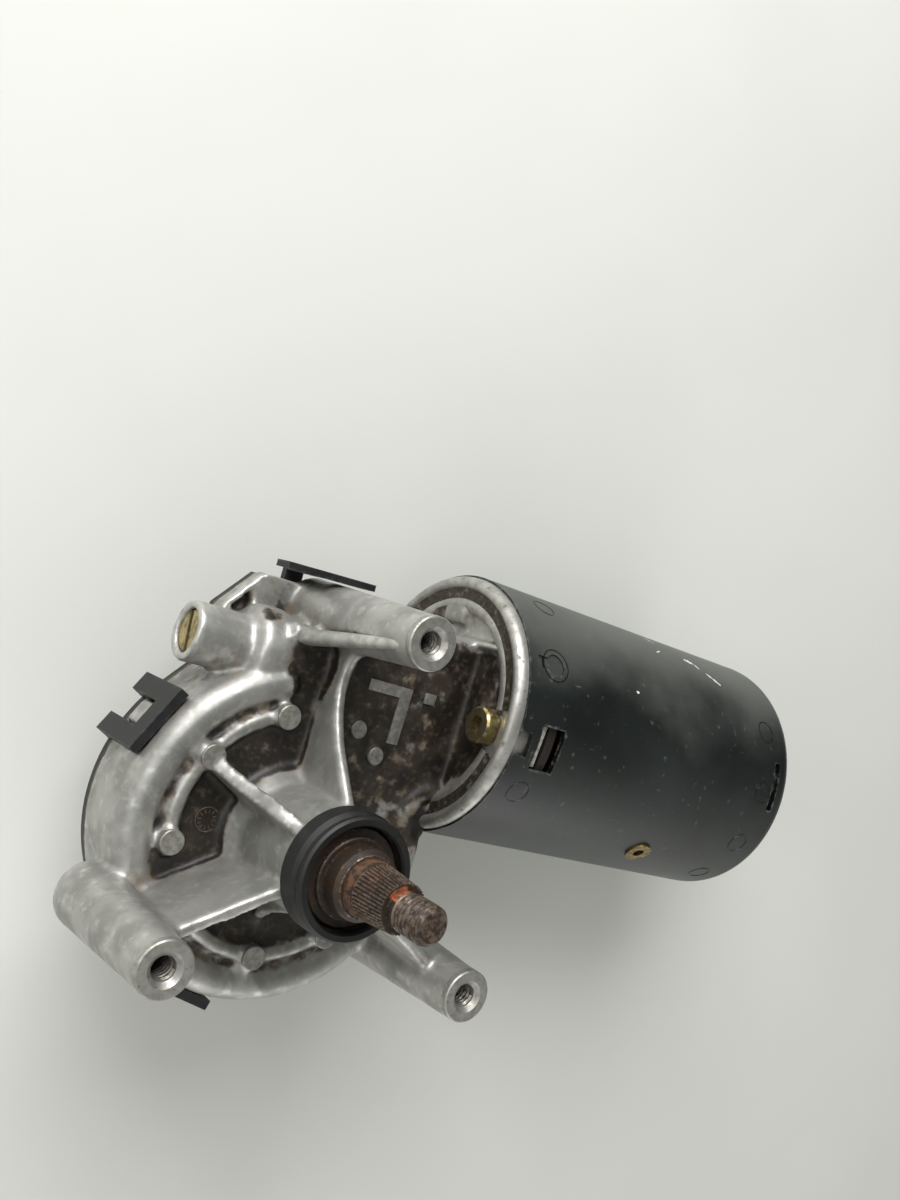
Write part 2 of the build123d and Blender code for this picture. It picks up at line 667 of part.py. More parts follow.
def park_disc():
    """Return the contact disc on the wheel's rear face, with its park gap."""
    low = -wheel_top_z - PARK_DISC_T
    disc = upright(0, 0, low, -wheel_top_z, PARK_OUTER_R)
    disc -= upright(0, 0, low, -wheel_top_z, PARK_INNER_R)
    inner = PARK_OUTER_R - PARK_GAP_DEPTH
    gap = slab(inner, PARK_OUTER_R + 1, -PARK_GAP_W / 2, PARK_GAP_W / 2, low - 1, 0)
    return disc - Rot(0, 0, PARK_GAP_ANGLE) * gap


# ---------------------------------------------------------------- armature


def worm_shaft():
    """Return the armature shaft with the worm cut on it."""
    core_low, core_high = worm_end_x, -worm_end_x
    shaft = turned_about_motor([
        (nose_end_x, 0), (nose_end_x, ROTOR_NOSE_R - 0.4), (nose_end_x + 0.4, ROTOR_NOSE_R),
        (nose_x, ROTOR_NOSE_R), (nose_x, worm_root_r - 0.5), (core_low - 0.5, worm_root_r - 0.5),
        (core_low, worm_root_r), (core_high, worm_root_r), (core_high + 0.5, ROTOR_SHAFT_R),
        (shaft_end_x, ROTOR_SHAFT_R), (shaft_end_x, 0),
    ])
    return shaft + worm_thread()


def worm_thread():
    """Return the single-start right-hand thread of the worm, with a crest facing the wheel at x = 0."""
    slope = tan(radians(PRESSURE_ANGLE))
    sunk = 0.25
    crest = (worm_lead / 2 - BACKLASH / 2) / 2 - tooth_add * slope
    foot = crest + (worm_tip_r - worm_root_r + sunk) * slope
    turns = int((WORM_LEN / 2 - foot) / worm_lead) * 2
    length = turns * worm_lead
    path = Helix(worm_lead, length, WORM_PITCH_R)
    inner, outer = worm_root_r - sunk, worm_tip_r
    section = Plane(origin=path @ 0, x_dir=(1, 0, 0), z_dir=(0, 1, 0)) * make_face(Polyline(
        (inner - WORM_PITCH_R, foot), (outer - WORM_PITCH_R, crest), (outer - WORM_PITCH_R, -crest),
        (inner - WORM_PITCH_R, -foot), close=True))
    thread = sweep(section, path, is_frenet=True)
    place = Pos(-length / 2, motor_y, 0) * Rot(0, 90, 0)
    return place * Rot(0, 0, -90) * thread


def armature_core():
    """Return the stack of laminations with its slots."""
    outline = Circle(core_r) - Circle(ROTOR_SHAFT_R + FIT)
    mouth = Pos(core_r, 0) * Rectangle(3 * TOOTH_HALF, SLOT_MOUTH)
    for slot in range(SLOTS):
        outline -= Rot(0, 0, slot * 360 / SLOTS) * (mouth + slot_outline())
    return Pos(core_x, motor_y, 0) * Rot(0, 90, 0) * extrude(outline, CORE_LEN)


def slot_outline(gap=0.0):
    """Return the wedge-shaped inside of one armature slot."""
    outer = slot_outer_r - gap
    inner = slot_outer_r - SLOT_DEPTH + gap
    half_out = outer * tan(pi / SLOTS) - TOOTH_HALF - gap
    half_in = max(inner * tan(pi / SLOTS) - TOOTH_HALF - gap, SLOT_ROOT_HALF)
    return make_face(Polyline(
        (inner, half_in), (outer, half_out), (outer, -half_out), (inner, -half_in), close=True))


def armature_windings():
    """Return the copper: bars in the slots and a bundle at each end of the stack."""
    outer = core_r - COIL_INSET
    inner = slot_outer_r - SLOT_DEPTH + 1
    low = core_x + CORE_LEN
    high = low + COIL_LEN
    bundle = turned_about_motor([
        (high, inner), (high - 1.5, outer - 2.5), (high - 3, outer), (low + 1.5, outer),
        (low, outer - 1.5), (low, inner),
    ])
    solid = bundle + mirror(bundle, Plane(origin=(core_x + CORE_LEN / 2, 0, 0), z_dir=(1, 0, 0)))
    bar = extrude(slot_outline(SLOT_LINER), CORE_LEN + 2)
    for slot in range(SLOTS):
        turn = Rot(0, 90, 0) * Rot(0, 0, slot * 360 / SLOTS)
        solid += Pos(core_x - 1, motor_y, 0) * turn * bar
    return solid


def commutator():
    """Return the commutator with the cuts between its bars."""
    end_x = comm_x + COMM_LEN
    ring = motor_tube(comm_x, end_x, COMM_R, COMM_HUB_R)
    ring += motor_tube(end_x - RISER_LEN, end_x, COMM_R + RISER_H, COMM_HUB_R)
    cut = Pos(0, 0, COMM_R + RISER_H) * Box(COMM_LEN + 2, BAR_CUT_W, 2 * (RISER_H + BAR_CUT_DEPTH))
    for bar in range(SLOTS):
        ring -= Pos(comm_x + COMM_LEN / 2, motor_y, 0) * Rot(bar * 360 / SLOTS, 0, 0) * cut
    return ring


def commutator_hub():
    """Return the moulded hub between the commutator's bars and the shaft."""
    return motor_tube(comm_x - 1, comm_x + COMM_LEN, COMM_HUB_R - FIT, ROTOR_SHAFT_R + FIT)


# ---------------------------------------------------------------- motor can


def motor_can():
    """Return the drawn steel can with its windows, notches, pressed keyhole and rear boss."""
    outer = along_motor(can_front_x, can_end_x, CAN_R)
    outer = fillet(outer.edges().filter_by(GeomType.CIRCLE).sort_by(Axis.X)[-1], CAN_EDGE_R)
    outer += along_motor(can_end_x - 1, can_end_x + CAN_BOSS_LEN, CAN_BOSS_R)
    inner = along_motor(can_front_x - 1, can_end_x - CAN_T, can_inner_r)
    inner = fillet(inner.edges().filter_by(GeomType.CIRCLE).sort_by(Axis.X)[-1], CAN_EDGE_R - CAN_T)
    inner += along_motor(can_end_x - CAN_EDGE_R, can_end_x + CAN_BOSS_LEN - CAN_T, CAN_BOSS_R - CAN_T)
    can = outer - inner
    for angle in SCREW_ANGLES:
        can -= can_cut(angle, can_front_x + WINDOW_SETBACK, WINDOW_LEN, WINDOW_W)
        can -= can_cut(angle, can_front_x - 1, NOTCH_LEN + 1, NOTCH_W)
    can -= can_cut(END_SLOT_ANGLE, can_end_x - END_SLOT_INSET, END_SLOT_LEN, END_SLOT_W)
    can -= eyelet_place() * upright(0, 0, -CAN_EDGE_R, CAN_EDGE_R, EYELET_R + FIT)
    key = upright(0, 0, -KEY_DEPTH, CAN_T, KEY_R)
    key += slab(KEY_R - KEY_SETBACK, 0, -KEY_W / 2, KEY_W / 2, -KEY_DEPTH, CAN_T)
    return can - can_place(KEY_ANGLE, can_front_x + KEY_SETBACK) * key


def can_cut(angle, x, length, width):
    """Return the cut of a window right through the can's wall."""
    return can_place(angle, x) * slab(0, length, -width / 2, width / 2, -CAN_EDGE_R, CAN_EDGE_R)


def can_place(angle, x):
    """Return a place on the can's surface: z points out, x along the motor axis."""
    return Pos(x, motor_y, 0) * Rot(angle - 90, 0, 0) * Pos(0, 0, CAN_R)


def eyelet_place():
    """Return the place of the drain eyelet on the can."""
    return can_place(EYELET_ANGLE, can_front_x + EYELET_SETBACK)


def drain_eyelet():
    """Return the brass eyelet that lines the can's drain hole."""
    flange_low = RUN + FIT - EYELET_FLANGE_R ** 2 / (2 * CAN_R)
    ring = upright(0, 0, FIT - CAN_T, EYELET_RISE, EYELET_R)
    ring += upright(0, 0, flange_low, EYELET_RISE, EYELET_FLANGE_R)
    wall = Pos(0, 0, -CAN_R) * Rot(0, 90, 0) * Cylinder(CAN_R + FIT, 4 * EYELET_FLANGE_R)
    ring -= wall - upright(0, 0, -CAN_EDGE_R, CAN_EDGE_R, EYELET_R)
    return eyelet_place() * (ring - upright(0, 0, -CAN_EDGE_R, CAN_EDGE_R, EYELET_R - EYELET_WALL))


def field_magnets():
    """Return the two magnet shells inside the can."""
    low, high = core_x - MAGNET_OVERHANG, core_x + CORE_LEN + MAGNET_OVERHANG
    outer = can_inner_r - FIT
    inner = outer - MAGNET_T
    face = make_face(Polyline(
        (low, motor_y + inner, 0), (low, motor_y + outer, 0), (high, motor_y + outer, 0),
        (high, motor_y + inner, 0), close=True))
    shell = revolve(face, Axis((0, motor_y, 0), (1, 0, 0)), MAGNET_ARC)
    pair = Part()
    for start in (-MAGNET_ARC / 2, 180 - MAGNET_ARC / 2):
        pair += Pos(0, motor_y, 0) * Rot(start, 0, 0) * Pos(0, -motor_y, 0) * shell
    return pair


def end_bush():
    """Return the bush in the can's rear boss."""
    return motor_tube(end_bush_x, end_bush_x + END_BUSH_LEN, END_BUSH_R, ROTOR_SHAFT_R + RUN)


def bush_retainer():
    """Return the spring ring that holds the rear bush."""
    high = can_end_x - CAN_T
    return motor_tube(high - 1, high, END_BUSH_R + 6, END_BUSH_R + FIT)


def front_bearing():
    """Return the bearing behind the worm, in the flange."""
    ring = motor_tube(bearing_x, bearing_x + FRONT_BEARING_LEN, FRONT_BEARING_R, ROTOR_SHAFT_R + RUN)
    end_x = bearing_x + FRONT_BEARING_LEN
    race = (FRONT_BEARING_R - ROTOR_SHAFT_R) / 3
    return ring - motor_tube(end_x - RISER_H / 2, end_x + 1, FRONT_BEARING_R - race, ROTOR_SHAFT_R + race)


def nose_bush():
    """Return the bush in the adjuster tube that carries the worm's free end."""
    return motor_tube(nose_end_x, nose_x - 0.3, TUBE_BORE_R - FIT, ROTOR_NOSE_R + RUN)


def thrust_pad():
    """Return the pad that takes the worm's end thrust."""
    return along_motor(nose_end_x - SEAT - PAD_LEN, nose_end_x - SEAT, ROTOR_NOSE_R)


def thrust_screw():
    """Return the slotted screw that sets the end play."""
    low = TUBE_END_X + SCREW_SINK
    screw = along_motor(low, nose_end_x - SEAT - PAD_LEN, TUBE_BORE_R - FIT)
    screw = chamfer(screw.edges().filter_by(GeomType.CIRCLE).sort_by(Axis.X)[0], EDGE)
    slot = Pos(low, motor_y, 0) * Rot(SLOT_TURN, 0, 0) * Box(2 * SLOT_CUT, SLOT_W, 3 * TUBE_BORE_R)
    return screw - slot


def brush_holder():
    """Return the moulded ring that carries the brush boxes."""
    return motor_tube(brush_x - HOLDER_T, brush_x, can_inner_r - FIT, COMM_R + 1)


def brush_pairs(low, high, width, depth, x):
    """Return a box on each side of the commutator, between two radii."""
    pair = Part()
    for side in (0, 180):
        box = slab(x, x + depth, low, high, -width / 2, width / 2)
        pair += Pos(0, motor_y, 0) * Rot(side, 0, 0) * box
    return pair


def brush_boxes():
    """Return the brass boxes that guide the brushes."""
    low, high = brush_in_r + 2 * BOX_WALL, brush_out_r + SPRING_T + BOX_WALL
    wall = BOX_WALL + FIT
    shell = brush_pairs(low, high, BRUSH_W + 2 * wall, BRUSH_L + 2 * wall, brush_x)
    width, depth = BRUSH_W + 2 * FIT, BRUSH_L + 2 * FIT
    return shell - brush_pairs(low - 1, high - BOX_WALL, width, depth, brush_x + BOX_WALL)


def brushes():
    """Return the carbon brushes."""
    return brush_pairs(brush_in_r, brush_out_r, BRUSH_W, BRUSH_L, brush_x + BOX_WALL + FIT)


def brush_springs():
    """Return the leaf springs behind the brushes."""
    width, depth = BRUSH_W - 2 * BOX_WALL, BRUSH_L - 2 * BOX_WALL
    return brush_pairs(brush_out_r, brush_out_r + SPRING_T, width, depth, brush_x + 2 * BOX_WALL + FIT)


def flange_screws():
    """Return the two cylinder-head screws that hold the can."""
    screws = Part()
    for angle in SCREW_ANGLES:
        head = upright(0, 0, 0, SCREW_HEAD_LEN, SCREW_HEAD_R)
        head = chamfer(head.edges().filter_by(GeomType.CIRCLE).sort_by(Axis.Z)[-1], EDGE)
        socket = extrude(RegularPolygon(SOCKET_R, 6), SCREW_HEAD_LEN)
        socket = Pos(0, 0, SCREW_HEAD_LEN - SOCKET_DEPTH) * socket
        shank = upright(0, 0, screw_seat_x - flange_back_x - NUT_T - SEAT, 0, SCREW_R)
        screws += screw_place(angle, screw_seat_x) * (head - socket + shank)
    return screws


def clamp_nuts():
    """Return the two plate nuts that show in the can's windows."""
    nuts = Part()
    low = screw_circle_r - NUT_REACH - CAN_R
    high = can_inner_r - FIT - NUT_DROP - CAN_R
    for angle in SCREW_ANGLES:
        plate = slab(flange_back_x, flange_back_x + NUT_T, -NUT_W / 2, NUT_W / 2, low, high)
        bore = upright(0, 0, 0, NUT_T + 2, SCREW_R + FIT)
        nuts += can_place(angle, 0) * plate - screw_place(angle, flange_back_x + NUT_T + 1) * bore
    return nuts


# ---------------------------------------------------------------- rear cover


def cover_outline():
    """Return the plan outline of the cover: the chamber, the block and the shelf."""
    block = make_face(Polyline(*block_outline(6 * COVER_INSET), close=True))
    shelf_face = make_face(Polyline(*shelf_outline(COVER_INSET), close=True))
    return Circle(CASE_R - COVER_INSET) + block + shelf_face


def cover_seal():
    """Return the sheet gasket between the housing and the cover."""
    sheet = extrude(cover_outline() - Circle(chamber_r + COVER_INSET), GASKET_T)
    return Pos(0, 0, cover_top_z) * sheet


def clip_bar(length, thick):
    """Return the bar of a snap clip, standing on x = 0."""
    return slab(0, thick, -length / 2, length / 2, CLIP_FRONT_Z - CLIP_BAR_W, CLIP_FRONT_Z)


def clip_leg(middle, width, thick):
    """Return one leg of a snap clip with its foot."""
    foot_z = cover_top_z - COVER_T
    low, high = middle - width / 2, middle + width / 2
    foot = slab(-CLIP_REACH, thick, low, high, foot_z, cover_top_z)
    return foot + slab(0, thick, low, high, foot_z, CLIP_FRONT_Z)


def side_clip():
    """Return a snap loop: a bar across two legs."""
    out = (CLIP_LEN - CLIP_LEG_W) / 2
    legs = clip_leg(-out, CLIP_LEG_W, CLIP_T) + clip_leg(out, CLIP_LEG_W, CLIP_T)
    return clip_bar(CLIP_LEN, CLIP_T) + legs


def top_clip():
    """Return the clip behind the top post: a long bar on one leg."""
    return clip_bar(TOP_CLIP_LEN, TOP_CLIP_T) + clip_leg(0, CLIP_LEG_W, TOP_CLIP_T)


def plug_shroud():
    """Return the plug's shroud, reaching back from the dome."""
    outer = Pos(PLUG_X, PLUG_Y) * RectangleRounded(PLUG_LEN, PLUG_W, 2)
    inner = Pos(PLUG_X, PLUG_Y) * RectangleRounded(PLUG_LEN - 2 * PLUG_WALL, PLUG_W - 2 * PLUG_WALL, 1)
    shroud = extrude(outer, cover_back_z - plug_end_z) - extrude(inner, cover_back_z - plug_end_z)
    return Pos(0, 0, plug_end_z) * shroud


def rear_cover():
    """Return the moulded rear cover with its dome, clips and plug shroud."""
    plate_back = cover_top_z - COVER_T
    cover = Pos(0, 0, plate_back) * extrude(cover_outline(), COVER_T)
    dome = upright(0, 0, cover_back_z, plate_back + FIT, cover_dome_r)
    cover += fillet(dome.edges().filter_by(GeomType.CIRCLE).sort_by(Axis.Z)[0], COVER_ROUND)
    cover -= upright(0, 0, cover_floor_z, 0, cover_dome_r - COVER_T)
    half, low, high = COVER_RIB_T / 2, cover_floor_z - FIT, cover_floor_z + COVER_RIB_H
    bar = slab(COVER_RIB_START, cover_dome_r - COVER_T / 2, -half, half, low, high)
    for rib in range(COVER_RIBS):
        cover += Rot(0, 0, 360 / COVER_RIBS * (rib + 0.5)) * bar
    cover += plug_shroud()
    for angle in CLIP_ANGLES:
        cover += Rot(0, 0, angle) * Pos(CASE_R + SEAT, 0, 0) * side_clip()
    top_y = TOP_POST_Y + POST_FOOT_R + TOP_CLIP_RAISE
    cover += Pos(TOP_CLIP_X, top_y, 0) * Rot(0, 0, 90 + TOP_CLIP_TILT) * top_clip()
    return cover - pin_row(PIN_W + 2 * FIT, PIN_T + 2 * FIT)


def pin_row(width, thick):
    """Return a row of plug blades with a given section."""
    row = Part()
    half_w, half_t, top = width / 2, thick / 2, cover_floor_z + 1
    for pin in range(PIN_COUNT):
        x = PLUG_X + (pin - (PIN_COUNT - 1) / 2) * PIN_PITCH
        row += slab(x - half_w, x + half_w, PLUG_Y - half_t, PLUG_Y + half_t, PIN_END_Z, top)
    return row


def plug_blades():
    """Return the plug's contact blades."""
    return pin_row(PIN_W, PIN_T)


def park_contacts():
    """Return the leaf springs that wipe the park disc."""
    floor = cover_floor_z
    tip = -wheel_top_z - PARK_DISC_T - SEAT
    root_y = 2 - CONTACT_FOOT
    tip_y = root_y + CONTACT_LEN
    springs = Part()
    for x in CONTACT_XS:
        corners = [
            (root_y, floor), (2, floor), (2, floor + CONTACT_T), (root_y + CONTACT_T, floor + CONTACT_T),
            (tip_y, tip), (tip_y - CONTACT_T, tip), (root_y, floor + CONTACT_T),
        ]
        leaf = make_face(Polyline(*[(x, y, z) for y, z in corners], close=True))
        springs += extrude(leaf, CONTACT_W, dir=(1, 0, 0))
    return springs


PARTS = {
    "gear_housing": gear_housing,
    "shaft_bushes": shaft_bushes,
    "shaft_seal": shaft_seal,
    "output_shaft": output_shaft,
    "splash_washer": lambda: shaft_ring(splash_z, ring_z, SHAFT_R + FIT, RING_SEAL_R - EDGE, RING_EDGE),
    "retaining_ring": lambda: shaft_ring(ring_z, collar_z, SHAFT_R - GROOVE_DEPTH + FIT, RING_R, RING_EDGE),
    "shaft_collar": lambda: shaft_ring(collar_z, collar_z + COLLAR_LEN, SHAFT_R + FIT, COLLAR_R, 1.0),
    "worm_wheel": worm_wheel,
    "wheel_hub": wheel_hub,
    "thrust_washer": thrust_washer,
    "park_disc": park_disc,
    "worm_shaft": worm_shaft,
    "armature_core": armature_core,
    "armature_windings": armature_windings,
    "commutator": commutator,
    "commutator_hub": commutator_hub,
    "motor_can": motor_can,
    "drain_eyelet": drain_eyelet,
    "field_magnets": field_magnets,
    "end_bush": end_bush,
    "bush_retainer": bush_retainer,
    "front_bearing": front_bearing,
    "nose_bush": nose_bush,
    "thrust_pad": thrust_pad,
    "thrust_screw": thrust_screw,
    "brush_holder": brush_holder,
    "brush_boxes": brush_boxes,
    "brushes": brushes,
    "brush_springs": brush_springs,
    "flange_screws": flange_screws,
    "clamp_nuts": clamp_nuts,
    "rear_cover": rear_cover,
    "cover_seal": cover_seal,
    "plug_blades": plug_blades,
    "park_contacts": park_contacts,
}


if __name__ == "__main__":
    os.makedirs("parts", exist_ok=True)
    for name, make in PARTS.items():
        export_step(Pos(0, 0, -THREAD_BASE_Z) * make(), f"parts/{name}.step")
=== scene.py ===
"""Looks of the wiper motor: finishes and fine detail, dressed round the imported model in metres."""
import json
import logging
import math
from collections.abc import Iterable
from dataclasses import dataclass
from enum import Enum

import bmesh
import bpy
from mathutils import Matrix, Vector, noise


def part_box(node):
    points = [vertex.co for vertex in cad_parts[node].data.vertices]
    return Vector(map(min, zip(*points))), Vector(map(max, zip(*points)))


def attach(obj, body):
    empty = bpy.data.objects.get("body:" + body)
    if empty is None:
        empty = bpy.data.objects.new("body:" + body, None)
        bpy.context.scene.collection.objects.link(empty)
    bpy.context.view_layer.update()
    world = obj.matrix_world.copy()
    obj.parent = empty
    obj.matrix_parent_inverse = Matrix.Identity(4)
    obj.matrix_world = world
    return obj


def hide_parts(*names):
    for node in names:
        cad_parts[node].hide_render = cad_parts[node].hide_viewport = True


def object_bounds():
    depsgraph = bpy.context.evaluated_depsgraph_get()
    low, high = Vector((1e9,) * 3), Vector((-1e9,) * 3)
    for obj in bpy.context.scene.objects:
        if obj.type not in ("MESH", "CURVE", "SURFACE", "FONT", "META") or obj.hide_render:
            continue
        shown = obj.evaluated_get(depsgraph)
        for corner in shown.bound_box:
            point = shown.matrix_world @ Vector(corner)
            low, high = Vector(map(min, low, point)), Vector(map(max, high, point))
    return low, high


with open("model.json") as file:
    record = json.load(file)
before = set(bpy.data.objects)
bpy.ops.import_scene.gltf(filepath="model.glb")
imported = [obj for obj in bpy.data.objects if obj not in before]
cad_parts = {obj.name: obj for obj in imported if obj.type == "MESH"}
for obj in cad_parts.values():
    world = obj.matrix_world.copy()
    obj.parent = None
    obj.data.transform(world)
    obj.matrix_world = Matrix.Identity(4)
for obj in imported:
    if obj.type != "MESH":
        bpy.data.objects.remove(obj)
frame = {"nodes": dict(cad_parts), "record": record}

LOG = logging.getLogger("wiper_motor")
CAD_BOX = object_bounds()
MM = 0.001
JOINTS = {joint["name"]: joint for joint in frame["record"]["behaviour"]["joints"]}
MOTOR_AXIS = Vector(JOINTS["armature_spin"]["pos_m"])
MOUNTS = {mount["name"]: mount for mount in frame["record"]["mounts"]}


# ---------------------------------------------------------------- nodes and finishes


class Pattern(Enum):
    """The texture that draws a stain or a relief, and the output that it is read from."""

    CLOUD = ("ShaderNodeTexNoise", "Fac")
    CELLS = ("ShaderNodeTexVoronoi", "Distance")
    LINES = ("ShaderNodeTexWave", "Fac")


class Where(Enum):
    """Which part of a surface a stain favours."""

    ANYWHERE = "anywhere"
    HOLLOWS = "hollows"
    EDGES = "edges"


def linear(code: str) -> tuple[float, float, float, float]:
    """Turn an sRGB hex colour into the linear colour that a shader reads.

    Args:
        code: The colour, such as "#B9B8B1".

    Returns:
        Red, green, blue and alpha, each from 0 to 1.
    """
    parts = [int(code[i:i + 2], 16) / 255 for i in (1, 3, 5)]
    return (*[p / 12.92 if p <= 0.04045 else ((p + 0.055) / 1.055) ** 2.4 for p in parts], 1.0)


def add(tree: bpy.types.NodeTree, kind: str, settings: dict | None = None,
        inputs: dict | None = None) -> bpy.types.Node:
    """Add one node with its settings, and set or link its inputs.

    Args:
        tree: The material's or the world's node tree.
        kind: The node's type name.
        settings: The node's own properties.
        inputs: Values or output sockets by input name or number.

    Returns:
        The new node.
    """
    made = tree.nodes.new(kind)
    for name, value in (settings or {}).items():
        setattr(made, name, value)
    for key, value in (inputs or {}).items():
        if isinstance(value, bpy.types.NodeSocket):
            tree.links.new(value, made.inputs[key])
        else:
            made.inputs[key].default_value = value
    return made


@dataclass(frozen=True)
class Grain:
    """A pattern at a real scale.

    Attributes:
        size: The size of its features, in mm.
        pattern: What draws it.
        stretch: How much finer it runs along x, y and z.
        detail: How many finer octaves it has.
    """

    size: float
    pattern: Pattern = Pattern.CLOUD
    stretch: tuple[float, float, float] = (1.0, 1.0, 1.0)
    detail: float = 4.0

    def value(self, tree: bpy.types.NodeTree, place: bpy.types.NodeSocket) -> bpy.types.NodeSocket:
        """Draw the pattern.

        Args:
            tree: The material's node tree.
            place: The coordinates to draw it on.

        Returns:
            The socket with its value, from 0 to 1.
        """
        kind, output = self.pattern.value
        moved = add(tree, "ShaderNodeMapping", {}, {"Vector": place, "Scale": self.stretch})
        inputs = {"Vector": moved.outputs[0], "Scale": 1 / (self.size * MM), "Detail": self.detail}
        made = add(tree, kind, {}, inputs)
        if self.pattern is not Pattern.CELLS:
            return made.outputs[output]
        spots = add(tree, "ShaderNodeMath", {"operation": "SUBTRACT"}, {0: 1.0, 1: made.outputs[output]})
        return spots.outputs[0]


@dataclass(frozen=True)
class Pool:
    """A lens-shaped space where a stain gathers.

    Attributes:
        place: Its middle, in mm.
        radius: How far it reaches across, in mm.
        height: How far it reaches up and down, in mm.
        core: The share of that reach that it fills wholly.
    """

    place: tuple[float, float, float]
    radius: float
    height: float
    core: float = 0.6

    def share(self, tree: bpy.types.NodeTree, place: bpy.types.NodeSocket) -> bpy.types.NodeSocket:
        """Work out how deep in the pool each point lies.

        Args:
            tree: The material's node tree.
            place: The coordinates of the surface.

        Returns:
            The socket with the share, 1 in its core and 0 outside it.
        """
        away = add(tree, "ShaderNodeVectorMath", {"operation": "SUBTRACT"},
                   {0: place, 1: [value * MM for value in self.place]})
        scales = [1 / (reach * MM) for reach in (self.radius, self.radius, self.height)]
        scaled = add(tree, "ShaderNodeVectorMath", {"operation": "MULTIPLY"}, {0: away.outputs[0], 1: scales})
        length = add(tree, "ShaderNodeVectorMath", {"operation": "LENGTH"}, {0: scaled.outputs[0]})
        return add(tree, "ShaderNodeMapRange", {"interpolation_type": "SMOOTHSTEP"},
                   {"Value": length.outputs["Value"], "From Min": 1.0, "From Max": self.core}).outputs[0]


@dataclass(frozen=True)
class Stain:
    """A patchy change of a surface: dirt, wear, rust, a second tone, or painted light and shade.

    Attributes:
        colour: Its sRGB colour.
        grain: The pattern that breaks it up.
        level: The value of the pattern where it begins.
        soft: How gradual its border is.
        strength: How much it covers at most.
        roughness: The roughness it brings, or None to leave it.
        metallic: The metallic value it brings, or None to leave it.
        where: The part of the surface that it favours.
        reach: How far a hollow or an edge is felt, in mm.
        pull: How strongly a hollow or an edge draws it.
        pools: Where it gathers.
        pool_pull: How strongly a pool draws it.
        facing: The way that a face points where the stain is drawn to it.
        facing_pull: How strongly a face that points that way draws it.
    """

    colour: str
    grain: Grain
    level: float = 0.5
    soft: float = 0.12
    strength: float = 0.7
    roughness: float | None = None
    metallic: float | None = None
    where: Where = Where.ANYWHERE
    reach: float = 2.0
    pull: float = 0.6
    pools: tuple[Pool, ...] = ()
    pool_pull: float = 1.0
    facing: tuple[float, float, float] = (0.0, 0.0, 1.0)
    facing_pull: float = 0.0

    def mask(self, tree: bpy.types.NodeTree, place: bpy.types.NodeSocket) -> bpy.types.NodeSocket:
        """Work out where the stain lies.

        Args:
            tree: The material's node tree.
            place: The coordinates of the surface.

        Returns:
            The socket with its cover, from 0 to the strength.
        """
        value = self.grain.value(tree, place)
        if self.where is not Where.ANYWHERE:
            edges = self.where is Where.EDGES
            shade = add(tree, "ShaderNodeAmbientOcclusion", {"samples": 8, "inside": edges, "only_local": edges},
                        {"Distance": self.reach * MM})
            closed = add(tree, "ShaderNodeMath", {"operation": "SUBTRACT"}, {0: 1.0, 1: shade.outputs["AO"]})
            value = add(tree, "ShaderNodeMath", {"operation": "MULTIPLY_ADD"},
                        {0: closed.outputs[0], 1: self.pull, 2: value}).outputs[0]
        if self.pools:
            share = 0.0
            for pool in self.pools:
                share = add(tree, "ShaderNodeMath", {"operation": "MAXIMUM"},
                            {0: pool.share(tree, place), 1: share}).outputs[0]
            value = add(tree, "ShaderNodeMath", {"operation": "MULTIPLY_ADD"},
                        {0: share, 1: self.pool_pull, 2: value}).outputs[0]
        if self.facing_pull:
            normal = add(tree, "ShaderNodeTexCoord").outputs["Normal"]
            toward = add(tree, "ShaderNodeVectorMath", {"operation": "DOT_PRODUCT"}, {0: normal, 1: self.facing})
            value = add(tree, "ShaderNodeMath", {"operation": "MULTIPLY_ADD"},
                        {0: toward.outputs["Value"], 1: self.facing_pull, 2: value}).outputs[0]
        cover = add(tree, "ShaderNodeMapRange", {"interpolation_type": "SMOOTHSTEP"},
                    {"Value": value, "From Min": self.level - self.soft, "From Max": self.level + self.soft,
                     "To Max": self.strength})
        return cover.outputs[0]


